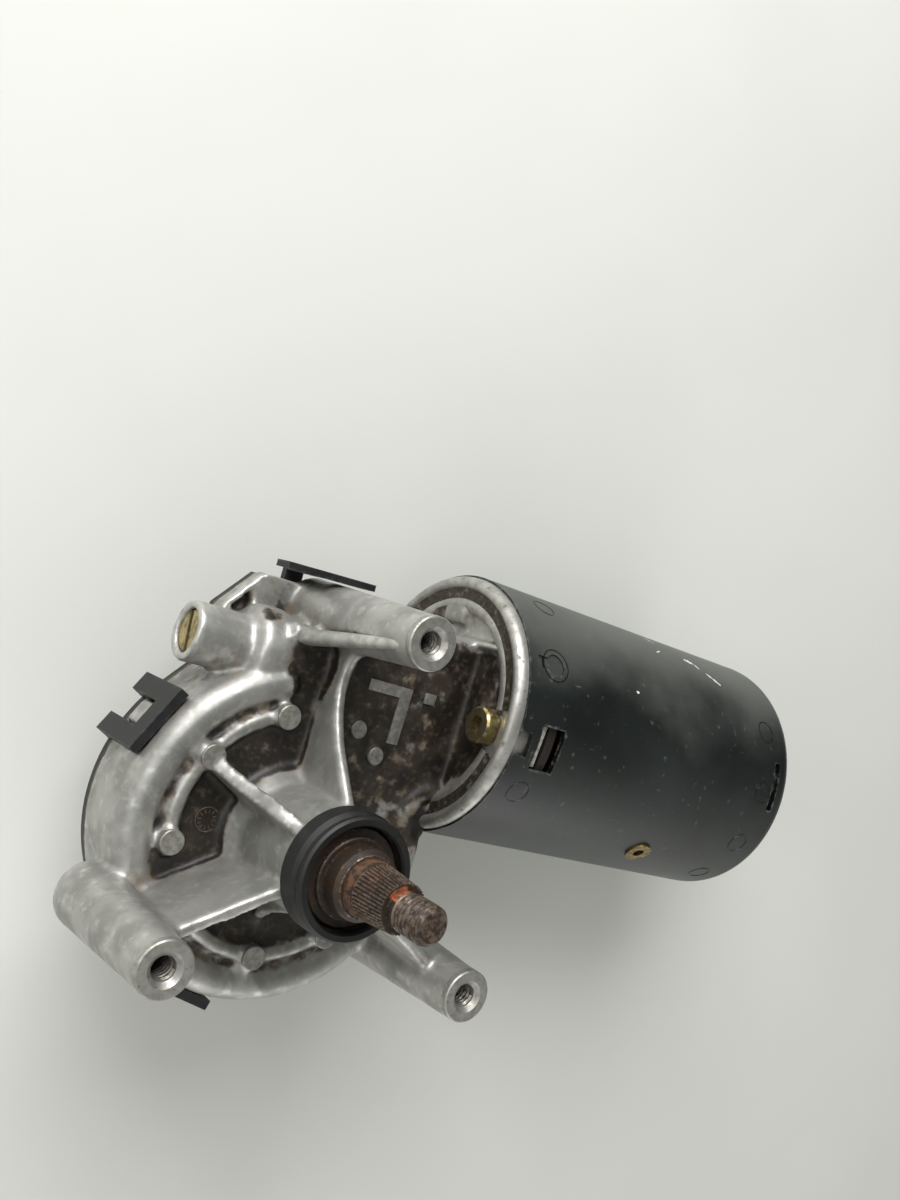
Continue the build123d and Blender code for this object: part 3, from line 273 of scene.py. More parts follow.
@dataclass(frozen=True)
class Finish:
    """A real material and how its surface was made.

    Attributes:
        name: The material's and the process's common name.
        colour: Its sRGB colour when clean.
        roughness: Its roughness when clean.
        metallic: 1 for bare metal and 0 for the rest.
        stains: What lies on it, and its painted light and shade, the lowest first.
        relief: Patterns that dent it, each with its depth in mm.
        coat: How much clear film lies on it.
    """

    name: str
    colour: str
    roughness: float
    metallic: float = 0.0
    stains: tuple[Stain, ...] = ()
    relief: tuple[tuple[Grain, float], ...] = ()
    coat: float = 0.0

    def material(self) -> bpy.types.Material:
        """Build the finish's material, or find it if it is there already.

        Returns:
            The material.
        """
        made = bpy.data.materials.get(self.name)
        if made:
            return made
        made = bpy.data.materials.new(self.name)
        made.use_nodes = True
        tree = made.node_tree
        tree.nodes.clear()
        place = add(tree, "ShaderNodeTexCoord").outputs["Object"]
        inputs = {"Base Color": linear(self.colour), "Roughness": self.roughness, "Metallic": self.metallic}
        for stain in self.stains:
            self._lay(tree, inputs, stain, stain.mask(tree, place))
        if self.relief:
            inputs["Normal"] = self._dent(tree, place)
        shader = add(tree, "ShaderNodeBsdfPrincipled", {}, {**inputs, "Coat Weight": self.coat})
        add(tree, "ShaderNodeOutputMaterial", {}, {"Surface": shader.outputs[0]})
        return made

    @staticmethod
    def _lay(tree: bpy.types.NodeTree, inputs: dict, stain: Stain, mask: bpy.types.NodeSocket) -> None:
        """Lay one stain over the shader's inputs so far.

        Args:
            tree: The material's node tree.
            inputs: The shader's inputs, which are changed.
            stain: The stain.
            mask: Where it lies.
        """
        mixed = add(tree, "ShaderNodeMix", {"data_type": "RGBA"},
                    {0: mask, 6: inputs["Base Color"], 7: linear(stain.colour)})
        inputs["Base Color"] = mixed.outputs[2]
        for name, value in (("Roughness", stain.roughness), ("Metallic", stain.metallic)):
            if value is not None:
                blend = add(tree, "ShaderNodeMix", {"data_type": "FLOAT"}, {0: mask, 2: inputs[name], 3: value})
                inputs[name] = blend.outputs[0]

    def _dent(self, tree: bpy.types.NodeTree, place: bpy.types.NodeSocket) -> bpy.types.NodeSocket:
        """Add up the relief's patterns and turn them into a bump.

        Args:
            tree: The material's node tree.
            place: The coordinates of the surface.

        Returns:
            The socket with the bent normal.
        """
        height = 0.0
        for grain, depth in self.relief:
            value = grain.value(tree, place)
            height = add(tree, "ShaderNodeMath", {"operation": "MULTIPLY_ADD"},
                         {0: value, 1: depth * MM, 2: height}).outputs[0]
        return add(tree, "ShaderNodeBump", {}, {"Strength": 1.0, "Distance": 1.0, "Height": height}).outputs[0]


# Where oil and road dirt have settled on the housing: the floor inside the rim, the block beside the flange, the
# flange's own foot, the shelf at the post's root, the elbow's root and the web under the block; the last pool, at the
# fin's root, is a painted shadow under the fin.
DIRT_AND_SHADOW_POOLS = (
    Pool((0.0, 0.0, -51.8), 42.5, 3.8), Pool((24.0, 32.0, -50.5), 24.0, 6.0, core=0.8),
    Pool((38.5, 36.5, -45.0), 16.5, 15.0, core=0.85), Pool((-18.0, 52.0, -53.0), 9.0, 6.0, core=0.75),
    Pool((-5.0, 37.0, -50.0), 9.0, 4.5), Pool((31.0, 5.0, -53.0), 11.0, 7.0),
    # Painted shadow: the dark pool under the fin.
    Pool((38.0, 60.0, -69.0), 5.0, 5.0, core=0.7))

# Die-cast aluminium as it leaves the mould: satin grey, with oily road dirt baked into all that lies low, a painted
# highlight along its edges and a painted shadow under the fin.
CAST_ALUMINIUM = Finish(
    "die_cast_aluminium", "#AEADA8", 0.45, 0.75,
    stains=(
        Stain("#868682", Grain(8.0), soft=0.14, roughness=0.55),
        # Painted highlight: paler, glossier grey along the edges.
        Stain("#CFCEC9", Grain(2.6), level=0.66, soft=0.16, strength=0.75, roughness=0.31, where=Where.EDGES,
              reach=1.8),
        Stain("#6E5B45", Grain(3.2, detail=8.0), level=0.83, strength=0.8, roughness=0.7, metallic=0.1,
              where=Where.HOLLOWS, reach=8.0, pull=0.5, pools=DIRT_AND_SHADOW_POOLS, pool_pull=0.36, facing_pull=0.06),
        Stain("#251E16", Grain(3.0, detail=9.0), level=0.93, soft=0.1, strength=0.95, roughness=0.62, metallic=0.0,
              where=Where.HOLLOWS, reach=8.0, pull=0.5, pools=DIRT_AND_SHADOW_POOLS, pool_pull=0.5, facing_pull=0.06),
        Stain("#100D09", Grain(6.0, detail=7.0), level=0.95, soft=0.14, strength=0.9, roughness=0.42, metallic=0.0,
              where=Where.HOLLOWS, reach=9.0, pools=DIRT_AND_SHADOW_POOLS, pool_pull=0.38),
        Stain("#5E4F3B", Grain(1.3, detail=9.0), level=1.06, soft=0.1, strength=0.35, roughness=0.75, metallic=0.0,
              pools=DIRT_AND_SHADOW_POOLS, pool_pull=0.46),
        Stain("#2A241E", Grain(2.4, Pattern.CELLS), level=0.93, soft=0.03, strength=0.8, roughness=0.6, metallic=0.0)),
    relief=((Grain(0.45), 0.012), (Grain(2.6), 0.05), (Grain(2.4, Pattern.CELLS), -0.02)))

# Turned faces of the casting, where the tool left it bright.
MACHINED_ALUMINIUM = Finish(
    "machined_aluminium", "#ABAAA4", 0.44, 0.8,
    stains=(
        Stain("#858279", Grain(1.6), soft=0.16, strength=0.6, roughness=0.55),
        Stain("#4A4036", Grain(0.9, detail=6.0), level=0.66, soft=0.1, roughness=0.6, metallic=0.2)),
    relief=((Grain(0.5), 0.02),))

# The flange's turned ring: bright, with fine tool marks and dirt in its pits.
TURNED_FLANGE = Finish(
    "turned_cast_aluminium", "#B9B8B2", 0.4, 0.8,
    stains=(
        Stain("#8E8D87", Grain(3.0), soft=0.16, strength=0.6, roughness=0.5),
        Stain("#4B4236", Grain(1.6, detail=7.0), level=0.66, soft=0.1, roughness=0.6, metallic=0.2),
        Stain("#2B241C", Grain(1.2, detail=7.0), level=0.84, strength=0.9, roughness=0.6, metallic=0.0,
              where=Where.HOLLOWS)),
    relief=((Grain(0.6), 0.015),))

# The groove in the flange's ring, packed with oily dirt that lets some grey through.
OILY_GROOVE = Finish(
    "oily_cast_groove", "#3A3226", 0.55, 0.2,
    stains=(
        Stain("#8A857A", Grain(1.8, detail=7.0), level=0.6, soft=0.1, strength=0.6, roughness=0.5, metallic=0.6),
        Stain("#17130F", Grain(1.2, detail=6.0), level=0.52, strength=0.8, roughness=0.5)),
    relief=((Grain(0.6), 0.03),))

# Flat faces that the ejector pins and the mould's inserts left: plain grey, rubbed clean.
PAD_FACE = Finish(
    "ejector_pin_face", "#9F9E97", 0.48, 0.7,
    stains=(
        Stain("#7B7870", Grain(1.4), soft=0.14, roughness=0.6),
        Stain("#33291F", Grain(1.0, detail=6.0), level=0.85, strength=0.9, roughness=0.6, metallic=0.1,
              where=Where.HOLLOWS, reach=1.5, pull=0.4)),
    relief=((Grain(0.5), 0.015),))

# The date ring: the casting where grime lies thick on it, rubbed through here and there.
GRIMY_ALUMINIUM = Finish(
    "grimy_cast_aluminium", "#57493A", 0.55, 0.3,
    stains=(
        Stain("#9A958A", Grain(0.9, detail=6.0), level=0.58, soft=0.08, roughness=0.45, metallic=0.6),
        Stain("#2A2119", Grain(1.3, detail=6.0), level=0.6, soft=0.1, strength=0.8, roughness=0.6, metallic=0.0)))

# A tapped bore, dark with oil between its crests.
TAPPED_ALUMINIUM = Finish(
    "tapped_aluminium", "#8D8A83", 0.38, 0.85,
    stains=(Stain("#2B251E", Grain(1.2), level=0.62, soft=0.14, strength=0.9, roughness=0.5, metallic=0.1,
                  where=Where.HOLLOWS, reach=1.5, pull=0.4),))

# Black stoving enamel on drawn steel: semi-gloss, with rubs and a faint green cast; paler on its upper side, which is
# dust with a painted reflection, and paler low in front, which is a painted reflection of the floor.
BLACK_ENAMEL = Finish(
    "black_enamelled_steel", "#0B0E0D", 0.33,
    stains=(
        Stain("#151A19", Grain(22.0), soft=0.14, strength=0.8, roughness=0.39),
        # Dust and painted reflection: paler grey on the faces that point towards +y.
        Stain("#5E615C", Grain(26.0, detail=5.0), level=1.28, soft=0.36, strength=0.65, roughness=0.5,
              facing=(0.0, 0.95, 0.3), facing_pull=0.9),
        # Painted reflection of the floor: paler on the faces that point down and forward (-y, +z).
        Stain("#2A2F2E", Grain(24.0, detail=5.0), level=1.18, soft=0.34, strength=0.8, roughness=0.42,
              facing=(0.0, -0.75, 0.66), facing_pull=0.8),
        Stain("#6A6D68", Grain(2.2, detail=8.0), level=0.69, soft=0.07, strength=0.4, roughness=0.7),
        Stain("#8C8F8A", Grain(1.1, stretch=(0.15, 1.0, 1.0)), level=0.74, soft=0.03, strength=0.45, roughness=0.6),
        Stain("#6B6E6A", Grain(1.5), level=0.82, soft=0.1, strength=0.6, roughness=0.5, where=Where.EDGES, reach=1.0)),
    relief=((Grain(1.4), 0.012), (Grain(14.0), 0.06)))

# A darker copy of the same enamel for the pressed rings and the keyhole's rim: painted shade round each ring.
SHADED_ENAMEL = Finish(
    "shaded_black_enamel", "#050606", 0.3,
    stains=(Stain("#1B1F1E", Grain(1.2), level=0.55, strength=0.6, roughness=0.5),))

# Paint scraped through to its primer: pale, chalky and matt.
SCRAPED_PRIMER = Finish(
    "scraped_primer", "#DEDED8", 0.65,
    stains=(Stain("#9A9C97", Grain(0.5), level=0.56, soft=0.1),))

# Moulded rubber: near black, dusty on its flats.
MOULDED_RUBBER = Finish(
    "moulded_rubber", "#080807", 0.5,
    stains=(
        Stain("#111110", Grain(4.0), soft=0.14, strength=0.8, roughness=0.56),
        Stain("#4B4842", Grain(1.0, detail=8.0), level=0.7, soft=0.08, strength=0.4, roughness=0.8),
        Stain("#4A3325", Grain(2.0), level=0.8, strength=0.5, roughness=0.8, where=Where.HOLLOWS, pull=0.5)),
    relief=((Grain(0.6), 0.01),))

# Forged steel left to the weather: near-black brown low down, redder on the cone and rubbed grey at the thread.
RUSTY_STEEL = Finish(
    "rusty_forged_steel", "#3A2B1E", 0.5, 0.4,
    stains=(
        Stain("#20170F", Grain(3.0, detail=8.0), level=0.48, strength=0.9, roughness=0.68, metallic=0.1),
        Stain("#65432D", Grain(1.5, detail=8.0), level=0.76, soft=0.1, strength=0.75, roughness=0.8, metallic=0.0,
              pools=(Pool((0.0, 0.0, -10.5), 12.0, 7.5),), pool_pull=0.26),
        Stain("#7A6A5E", Grain(1.2, detail=7.0), level=0.74, strength=0.65, roughness=0.42, metallic=0.6,
              pools=(Pool((0.0, 0.0, 4.0), 9.0, 6.0),), pool_pull=0.24),
        Stain("#120F0D", Grain(1.5), level=0.78, strength=0.85, roughness=0.6, metallic=0.1, where=Where.HOLLOWS),
        Stain("#85776D", Grain(0.8), level=0.76, soft=0.1, strength=0.75, roughness=0.35, metallic=0.9,
              where=Where.EDGES, reach=0.6)),
    relief=((Grain(0.5), 0.03), (Grain(1.6), 0.04)))

# Glass-filled nylon: matt black with a faint grey bloom.
BLACK_NYLON = Finish(
    "glass_filled_nylon", "#111212", 0.5,
    stains=(
        Stain("#1F2121", Grain(5.0), level=0.52, soft=0.14, roughness=0.6),
        Stain("#5E5B54", Grain(1.4, detail=8.0), level=0.72, soft=0.06, strength=0.4, roughness=0.8),
        Stain("#44484A", Grain(1.0), level=0.8, soft=0.1, strength=0.6, roughness=0.45, where=Where.EDGES, reach=0.8)),
    relief=((Grain(0.35), 0.012),))

# Yellow-passivated zinc on steel screws: pale brass with a green shift, and black oil on the flange screws' heads.
ZINC_STEEL = Finish(
    "yellow_zinc_steel", "#C3AF78", 0.28, 0.95,
    stains=(
        Stain("#7C754F", Grain(4.0), level=0.48, soft=0.16, strength=0.75),
        Stain("#D6CDAA", Grain(2.0), level=0.64, strength=0.5, roughness=0.22),
        Stain("#3A2F20", Grain(1.0, detail=6.0), level=0.78, strength=0.85, roughness=0.6, metallic=0.1,
              where=Where.HOLLOWS, pull=0.5),
        Stain("#1E1A11", Grain(1.6, detail=6.0), level=1.28, soft=0.1, strength=0.9, roughness=0.45, metallic=0.2,
              pools=(Pool((34.0, 37.0, -59.5), 34.0, 34.0, core=0.9),), pool_pull=0.35, facing=(-1.0, 0.0, 0.0),
              facing_pull=0.65)),
    relief=((Grain(0.5), 0.01),))

# Bright zinc on the pressed plate nuts, dulled white.
PLATED_NUT = Finish(
    "bright_zinc_steel", "#C9C6BC", 0.42, 0.45,
    stains=(
        Stain("#8C887D", Grain(1.5), roughness=0.5),
        Stain("#5E5243", Grain(0.9), level=0.66, soft=0.1, strength=0.6, roughness=0.7, metallic=0.2)))

# Pressed brass with a brown tarnish.
BRASS_SHEET = Finish(
    "pressed_brass", "#8F7C50", 0.38, 0.9,
    stains=(
        Stain("#554930", Grain(1.2), level=0.48, soft=0.14, strength=0.85, roughness=0.5),
        Stain("#C8B083", Grain(0.8), level=0.66, strength=0.6, roughness=0.25)),
    relief=((Grain(0.4), 0.01),))

# Oil-soaked sintered bronze: fine open pores.
SINTERED_BRONZE = Finish(
    "sintered_bronze", "#9A7444", 0.5, 0.85,
    stains=(Stain("#4E3720", Grain(0.4, Pattern.CELLS), level=0.75, soft=0.1, strength=0.8, roughness=0.6),))

# Injection-moulded acetal: waxy white under clear grease.
MOULDED_ACETAL = Finish(
    "moulded_acetal", "#E4E1D6", 0.35,
    stains=(
        Stain("#C9C2AC", Grain(5.0), soft=0.15, roughness=0.25),
        Stain("#8F8365", Grain(2.0), level=0.85, soft=0.15, roughness=0.2, where=Where.HOLLOWS, pull=0.5)))

# Turned and ground steel, with rings from the tool and an oil film.
TURNED_STEEL = Finish(
    "turned_steel", "#9C9B98", 0.25, 1.0,
    stains=(Stain("#6E6B66", Grain(1.5), level=0.52, strength=0.6, roughness=0.4),),
    relief=((Grain(0.3, stretch=(6.0, 1.0, 1.0)), 0.004),))

# Stacked electrical steel: 0.5 mm sheets seen edge on, drawn 1 mm apart so that they show.
LAMINATION_STEEL = Finish(
    "stacked_electrical_steel", "#6F7072", 0.42, 0.9,
    stains=(
        Stain("#3B3C3E", Grain(1.0, Pattern.LINES, detail=0.0), soft=0.3, roughness=0.6),
        Stain("#5B4A38", Grain(4.0), level=0.62, soft=0.1, strength=0.5, roughness=0.6)))

# Varnished magnet wire: copper-red under a glossy film, in strands of 0.6 mm.
ENAMELLED_COPPER = Finish(
    "enamelled_copper_wire", "#8E4526", 0.28, 0.7,
    stains=(Stain("#4A2012", Grain(0.6, Pattern.LINES, detail=0.0), level=0.45, soft=0.25, strength=0.8),),
    relief=((Grain(0.6, Pattern.LINES, detail=0.0), 0.08),), coat=0.3)

# Commutator bars: drawn copper, blackened where the brushes run.
COPPER_BARS = Finish(
    "drawn_copper_bars", "#A6643F", 0.3, 1.0,
    stains=(Stain("#3A2A22", Grain(2.0, stretch=(0.3, 1.0, 1.0)), level=0.52, roughness=0.45),))

# Pressed phenolic resin: brown-black with a fine filler fleck.
PHENOLIC = Finish(
    "pressed_phenolic", "#221A15", 0.5,
    stains=(Stain("#120E0C", Grain(0.8), roughness=0.6),))

# Sintered ferrite: dark grey ceramic with a ground face.
SINTERED_FERRITE = Finish(
    "sintered_ferrite", "#2B2C2E", 0.5, 0.2,
    stains=(Stain("#46474A", Grain(1.2), level=0.55, strength=0.6, roughness=0.4),))

# Pressed carbon brush: black with a soft graphite sheen.
BRUSH_CARBON = Finish(
    "pressed_carbon", "#1B1B1C", 0.42, 0.3,
    stains=(Stain("#3A3A3C", Grain(0.7), level=0.55, strength=0.6, roughness=0.3),))

# Blued spring steel strip: slate blue with straw-brown patches.
SPRING_STEEL = Finish(
    "blued_spring_steel", "#4C4F57", 0.3, 1.0,
    stains=(Stain("#6B5B4A", Grain(2.0), level=0.55, strength=0.6, roughness=0.45),))

# Fibre gasket sheet: pale tan, darkened by oil at its edge.
GASKET_SHEET = Finish(
    "fibre_gasket", "#7C6F56", 0.8,
    stains=(Stain("#3F3628", Grain(3.0), strength=0.8, roughness=0.6),))

# Orange paint daubed on the shaft's neck when it was inspected.
INSPECTION_PAINT = Finish(
    "inspection_paint", "#A8512A", 0.6,
    stains=(Stain("#4F3526", Grain(0.9, detail=6.0), level=0.46, strength=0.95, roughness=0.75),))

# Painted board: pale and matt, with a faint unevenness and specks.
PAINTED_BOARD = Finish(
    "painted_board", "#DFE0DA", 0.7,
    stains=(
        Stain("#D8D9D3", Grain(90.0), soft=0.2, strength=0.5),
        Stain("#CBCCC5", Grain(2.0), level=0.76, soft=0.03, strength=0.35)))

SLOT_FINISHES = {
    "cast_aluminium": CAST_ALUMINIUM, "black_paint": BLACK_ENAMEL, "black_rubber": MOULDED_RUBBER,
    "rusty_steel": RUSTY_STEEL, "black_nylon": BLACK_NYLON, "zinc_screw": ZINC_STEEL, "nut_steel": PLATED_NUT,
    "brass_sheet": BRASS_SHEET, "sintered_bronze": SINTERED_BRONZE, "white_acetal": MOULDED_ACETAL,
    "turned_steel": TURNED_STEEL, "lamination_steel": LAMINATION_STEEL, "enamelled_copper": ENAMELLED_COPPER,
    "copper_bars": COPPER_BARS, "phenolic": PHENOLIC, "ferrite": SINTERED_FERRITE, "carbon": BRUSH_CARBON,
    "spring_steel": SPRING_STEEL, "gasket_sheet": GASKET_SHEET,
}


# ---------------------------------------------------------------- shared mesh work


def lathe(shape: bmesh.types.BMesh, profile: list[tuple[float, float]], steps: int, pitch: float = 0.0,
          turns: int = 1) -> None:
    """Spin a profile about the z axis into a bmesh, right round or up a right-hand helix.

    Args:
        shape: The bmesh to add to.
        profile: Points as radius and height, in mm.
        steps: How many faces go round one turn.
        pitch: The rise of one turn, in mm.
        turns: How many turns it makes.
    """
    points = [shape.verts.new((radius * MM, 0, height * MM)) for radius, height in profile]
    lines = [shape.edges.new(pair) for pair in zip(points, points[1:])]
    bmesh.ops.spin(shape, geom=points + lines, cent=(0, 0, 0), axis=(0, 0, 1), dvec=(0, 0, pitch * MM / steps),
                   angle=math.tau * turns, steps=steps * turns, use_merge=not pitch, use_duplicate=False)
    bmesh.ops.remove_doubles(shape, verts=shape.verts, dist=1e-7)


def ring_piece(shape: bmesh.types.BMesh, profile: list[tuple[float, float]], start: float, sweep: float,
               steps: int) -> None:
    """Spin a closed profile about the z axis through part of a turn, with closed ends.

    Args:
        shape: The bmesh to add to.
        profile: Corners as radius and height, in mm.
        start: Where it begins, in degrees from x.
        sweep: How far it goes round, in degrees.
        steps: How many faces go round.
    """
    before = set(shape.verts)
    face = shape.faces.new([shape.verts.new((radius * MM, 0, height * MM)) for radius, height in profile])
    bmesh.ops.rotate(shape, verts=face.verts[:], cent=(0, 0, 0), matrix=Matrix.Rotation(math.radians(start), 3, "Z"))
    bmesh.ops.spin(shape, geom=[face], cent=(0, 0, 0), axis=(0, 0, 1), dvec=(0, 0, 0),
                   angle=math.radians(sweep), steps=steps, use_merge=False, use_duplicate=False)
    bmesh.ops.remove_doubles(shape, verts=list(set(shape.verts) - before), dist=1e-7)


def brick(shape: bmesh.types.BMesh, place: Matrix, size: tuple[float, float, float]) -> None:
    """Add a square-cornered block to a bmesh: where its middle stands in metres, and its sides in mm."""
    sides = Matrix.Diagonal((*[side * MM for side in size], 1.0))
    bmesh.ops.create_cube(shape, size=1.0, matrix=place @ sides)


def pull_out(shape: bmesh.types.BMesh, faces: list[bmesh.types.BMFace], way: tuple[float, float, float]) -> None:
    """Draw faces out of a shape, so that it grows an arm with no seam across it.

    Args:
        shape: The bmesh, which is changed.
        faces: The faces to draw out.
        way: How far they go along x, y and z, in metres.
    """
    grown = bmesh.ops.extrude_face_region(shape, geom=faces)["geom"]
    bmesh.ops.translate(shape, vec=way, verts=[item for item in grown if isinstance(item, bmesh.types.BMVert)])
    bmesh.ops.delete(shape, geom=faces, context="FACES_ONLY")
    shape.normal_update()


def along_motor(shape: bmesh.types.BMesh) -> None:
    """Turn a shape built about z to stand about the motor's axis, its x pointing along +y and its z along +x."""
    turn = Matrix(((0, 0, 1), (1, 0, 0), (0, 1, 0)))
    bmesh.ops.transform(shape, matrix=Matrix.Translation((0, *MOTOR_AXIS[1:])) @ turn.to_4x4(), verts=shape.verts)


def piece_from(shape: bmesh.types.BMesh, name: str, body: str, finish: Finish,
               crease: float = 35.0) -> bpy.types.Object:
    """Turn a bmesh into a finished piece that rides on a body.

    Args:
        shape: The bmesh, which is freed.
        name: The piece's name.
        body: The CAD body that it moves with.
        finish: Its finish.
        crease: The angle in degrees past which an edge stays sharp.

    Returns:
        The new piece.
    """
    bmesh.ops.recalc_face_normals(shape, faces=shape.faces)
    mesh = bpy.data.meshes.new(name)
    shape.to_mesh(mesh)
    shape.free()
    mesh.materials.append(finish.material())
    mesh.polygons.foreach_set("use_smooth", [True] * len(mesh.polygons))
    mesh.set_sharp_from_angle(angle=math.radians(crease))
    piece = bpy.data.objects.new(name, mesh)
    bpy.context.scene.collection.objects.link(piece)
    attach(piece, body)
    LOG.info("%s: %d faces, rides on %s", name, len(mesh.polygons), body)
    return piece


# ---------------------------------------------------------------- the casting


@dataclass
class CastSkin:
    """The die-cast gear housing's outside, as soft as the mould leaves it.

    Attributes:
        voxel: The size that the skin is rebuilt at, in mm, which rounds its edges.
        passes: How often it is smoothed.
        ripple: How deep its waves are, in mm.
        ripple_grain: How long they are, in mm.
    """

    voxel: float = 0.75
    passes: int = 2
    ripple: float = 0.10
    ripple_grain: float = 5.0

    def build(self) -> None:
        """Build the skin, which stands for the plain housing, inside the housing's own box."""
        skin = self._rounded()
        for _ in range(self.passes):
            bmesh.ops.smooth_vert(skin, verts=skin.verts, factor=0.5, use_axis_x=True, use_axis_y=True,
                                  use_axis_z=True)
        skin.normal_update()
        low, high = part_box("gear_housing")
        for vert in skin.verts:
            wave = noise.noise(vert.co / (self.ripple_grain * MM))
            moved = vert.co + vert.normal * (wave * self.ripple * MM)
            vert.co = Vector([min(max(moved[i], low[i]), high[i]) for i in range(3)])
        piece = piece_from(skin, "cast_housing", "motor", CAST_ALUMINIUM, crease=80.0)
        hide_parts("gear_housing")

    def _rounded(self) -> bmesh.types.BMesh:
        """Rebuild a merged copy of the housing out of small cells.

        Returns:
            The rebuilt shape.
        """
        shape = bmesh.new()
        shape.from_mesh(frame["nodes"]["gear_housing"].data)
        bmesh.ops.remove_doubles(shape, verts=shape.verts, dist=1e-6)
        core = bpy.data.objects.new("core", bpy.data.meshes.new("core"))
        shape.to_mesh(core.data)
        shape.free()
        bpy.context.scene.collection.objects.link(core)
        remesh = core.modifiers.new("skin", "REMESH")
        remesh.mode, remesh.voxel_size = "VOXEL", self.voxel * MM
        graph = bpy.context.evaluated_depsgraph_get()
        skin = bmesh.new()
        skin.from_object(core, graph)
        bpy.data.objects.remove(core)
        return skin


@dataclass
class MouldMarks:
    """What the mould leaves crisp on the casting: ejector pads, pins, flat marks and a bare date ring.

    Attributes:
        floor_top: The height of the floor inside the rim, in mm.
        block_top: The height of the block beside the flange, in mm.
        pad_circle_r: The radius that the pads stand on, in mm.
        pad_angles: Where the pads stand, in degrees.
        pad_r: The radius of a pad, in mm.
        pad_top: The height of a pad's face, in mm.
        pins: The middle of each round pin beside the marks, in mm.
        pin_r: The radius of a pin, in mm.
        pin_rise: How far it stands up, in mm.
        cap_proud: How far a pad's or a pin's face stands clear of the skin, in mm.
        cap_round: How far its edge is rounded, in mm.
        cap_draft: How much wider it is at its foot, in mm.
        sunk: How deep a pin's foot goes into the block, in mm.
        bar: The x and y limits of the long arm of the angle-shaped mark on the block, in mm.
        leg: How wide its short arm is along x, and the y that it runs down to, in mm.
        dash: The x and y limits of the small mark beside it, in mm.
        mark_rise: How far a mark stands up, in mm.
        mark_round: How far its edges are rounded, in mm.
        date_place: The middle of the date ring, in mm.
        date_r: Its radius, in mm.
        date_band: How wide its ridge is, in mm.
        date_slope: How far the ridge's sides lean in, in mm.
        date_rise: How high the ridge stands, in mm.
        date_clear: How far the ring stands clear of the floor, in mm.
        ticks: How many ticks it has.
        tick_at: The share of the ring's radius that they stand at.
        tick_up: The height of their middles, in mm.
        tick_size: A tick's length, width and height, in mm.
    """

    floor_top: float = -51.0
    block_top: float = -50.1
    pad_circle_r: float = 27.0
    pad_angles: tuple[float, ...] = (108.5, 149.0, 190.5, 271.5, 310.5)
    pad_r: float = 2.75
    pad_top: float = -47.5
    pins: tuple[tuple[float, float], ...] = ((10.5, 26.5), (17.0, 21.5))
    pin_r: float = 2.1
    pin_rise: float = 1.2
    cap_proud: float = 0.03
    cap_round: float = 0.2
    cap_draft: float = 0.05
    sunk: float = 0.5
    bar: tuple[float, float, float, float] = (10.0, 19.0, 35.8, 38.4)
    leg: tuple[float, float] = (3.2, 25.0)
    dash: tuple[float, float, float, float] = (26.0, 29.2, 36.0, 38.6)
    mark_rise: float = 0.6
    mark_round: float = 0.2
    date_place: tuple[float, float] = (-18.7, 0.3)
    date_r: float = 2.8
    date_band: float = 0.3
    date_slope: float = 0.1
    date_rise: float = 0.16
    date_clear: float = 0.02
    ticks: int = 12
    tick_at: float = 0.66
    tick_up: float = 0.06
    tick_size: tuple[float, float, float] = (0.8, 0.22, 0.18)

    def build(self) -> None:
        """Build the pads, the pins, the flat marks and the date ring."""
        turns = [math.radians(angle) for angle in self.pad_angles]
        pads = [(self.pad_circle_r * math.cos(turn), self.pad_circle_r * math.sin(turn)) for turn in turns]
        self._caps("ejector_pads", pads, self.pad_r, self.pad_top, self.floor_top)
        self._caps("block_pins", self.pins, self.pin_r, self.block_top + self.pin_rise, self.block_top - self.sunk)
        self._flat_marks()
        self._date_ring()

    def _caps(self, name: str, places: Iterable[tuple[float, float]], radius: float, top: float,
              foot: float) -> None:
        """Build round caps of one size as one piece.

        Args:
            name: The piece's name.
            places: The middle of each, in mm.
            radius: Their radius, in mm.
            top: The height of their faces, in mm.
            foot: The height that they start from, in mm.
        """
        shape = bmesh.new()
        face = top + self.cap_proud
        for x, y in places:
            before = set(shape.verts)
            lathe(shape, [(0, face), (radius - self.cap_round, face), (radius, top - self.cap_round),
                          (radius + self.cap_draft, foot), (0, foot)], 40)
            bmesh.ops.translate(shape, verts=list(set(shape.verts) - before), vec=(x * MM, y * MM, 0))
        piece_from(shape, name, "motor", PAD_FACE, crease=30.0)

    def _flat_marks(self) -> None:
        """Build the flat raised marks on the block: an angle and a dash."""
        shape = bmesh.new()
        self._slab(shape, self.bar)
        pull_out(shape, [face for face in shape.faces if face.normal.x > 0.9], (self.leg[0] * MM, 0, 0))
        pull_out(shape, [face for face in shape.faces
                         if face.normal.y < -0.9 and face.calc_center_median().x > self.bar[1] * MM],
                 (0, (self.leg[1] - self.bar[2]) * MM, 0))
        self._slab(shape, self.dash)
        shape.normal_update()
        crisp = [edge for edge in shape.edges if edge.calc_face_angle(0.0) > 0.5]
        bmesh.ops.bevel(shape, geom=crisp, offset=self.mark_round * MM, segments=2, profile=0.5, affect="EDGES",
                        material=-1)
        piece_from(shape, "block_marks", "motor", PAD_FACE, crease=30.0)

    def _slab(self, shape: bmesh.types.BMesh, limits: tuple[float, float, float, float]) -> None:
        """Add one flat slab that stands up from the block.

        Args:
            shape: The bmesh to add to.
            limits: Where it begins and ends along x, and then along y, in mm.
        """
        x_low, x_high, y_low, y_high = limits
        middle = Vector(((x_low + x_high) / 2, (y_low + y_high) / 2, self.block_top)) * MM
        brick(shape, Matrix.Translation(middle), (x_high - x_low, y_high - y_low, 2 * self.mark_rise))

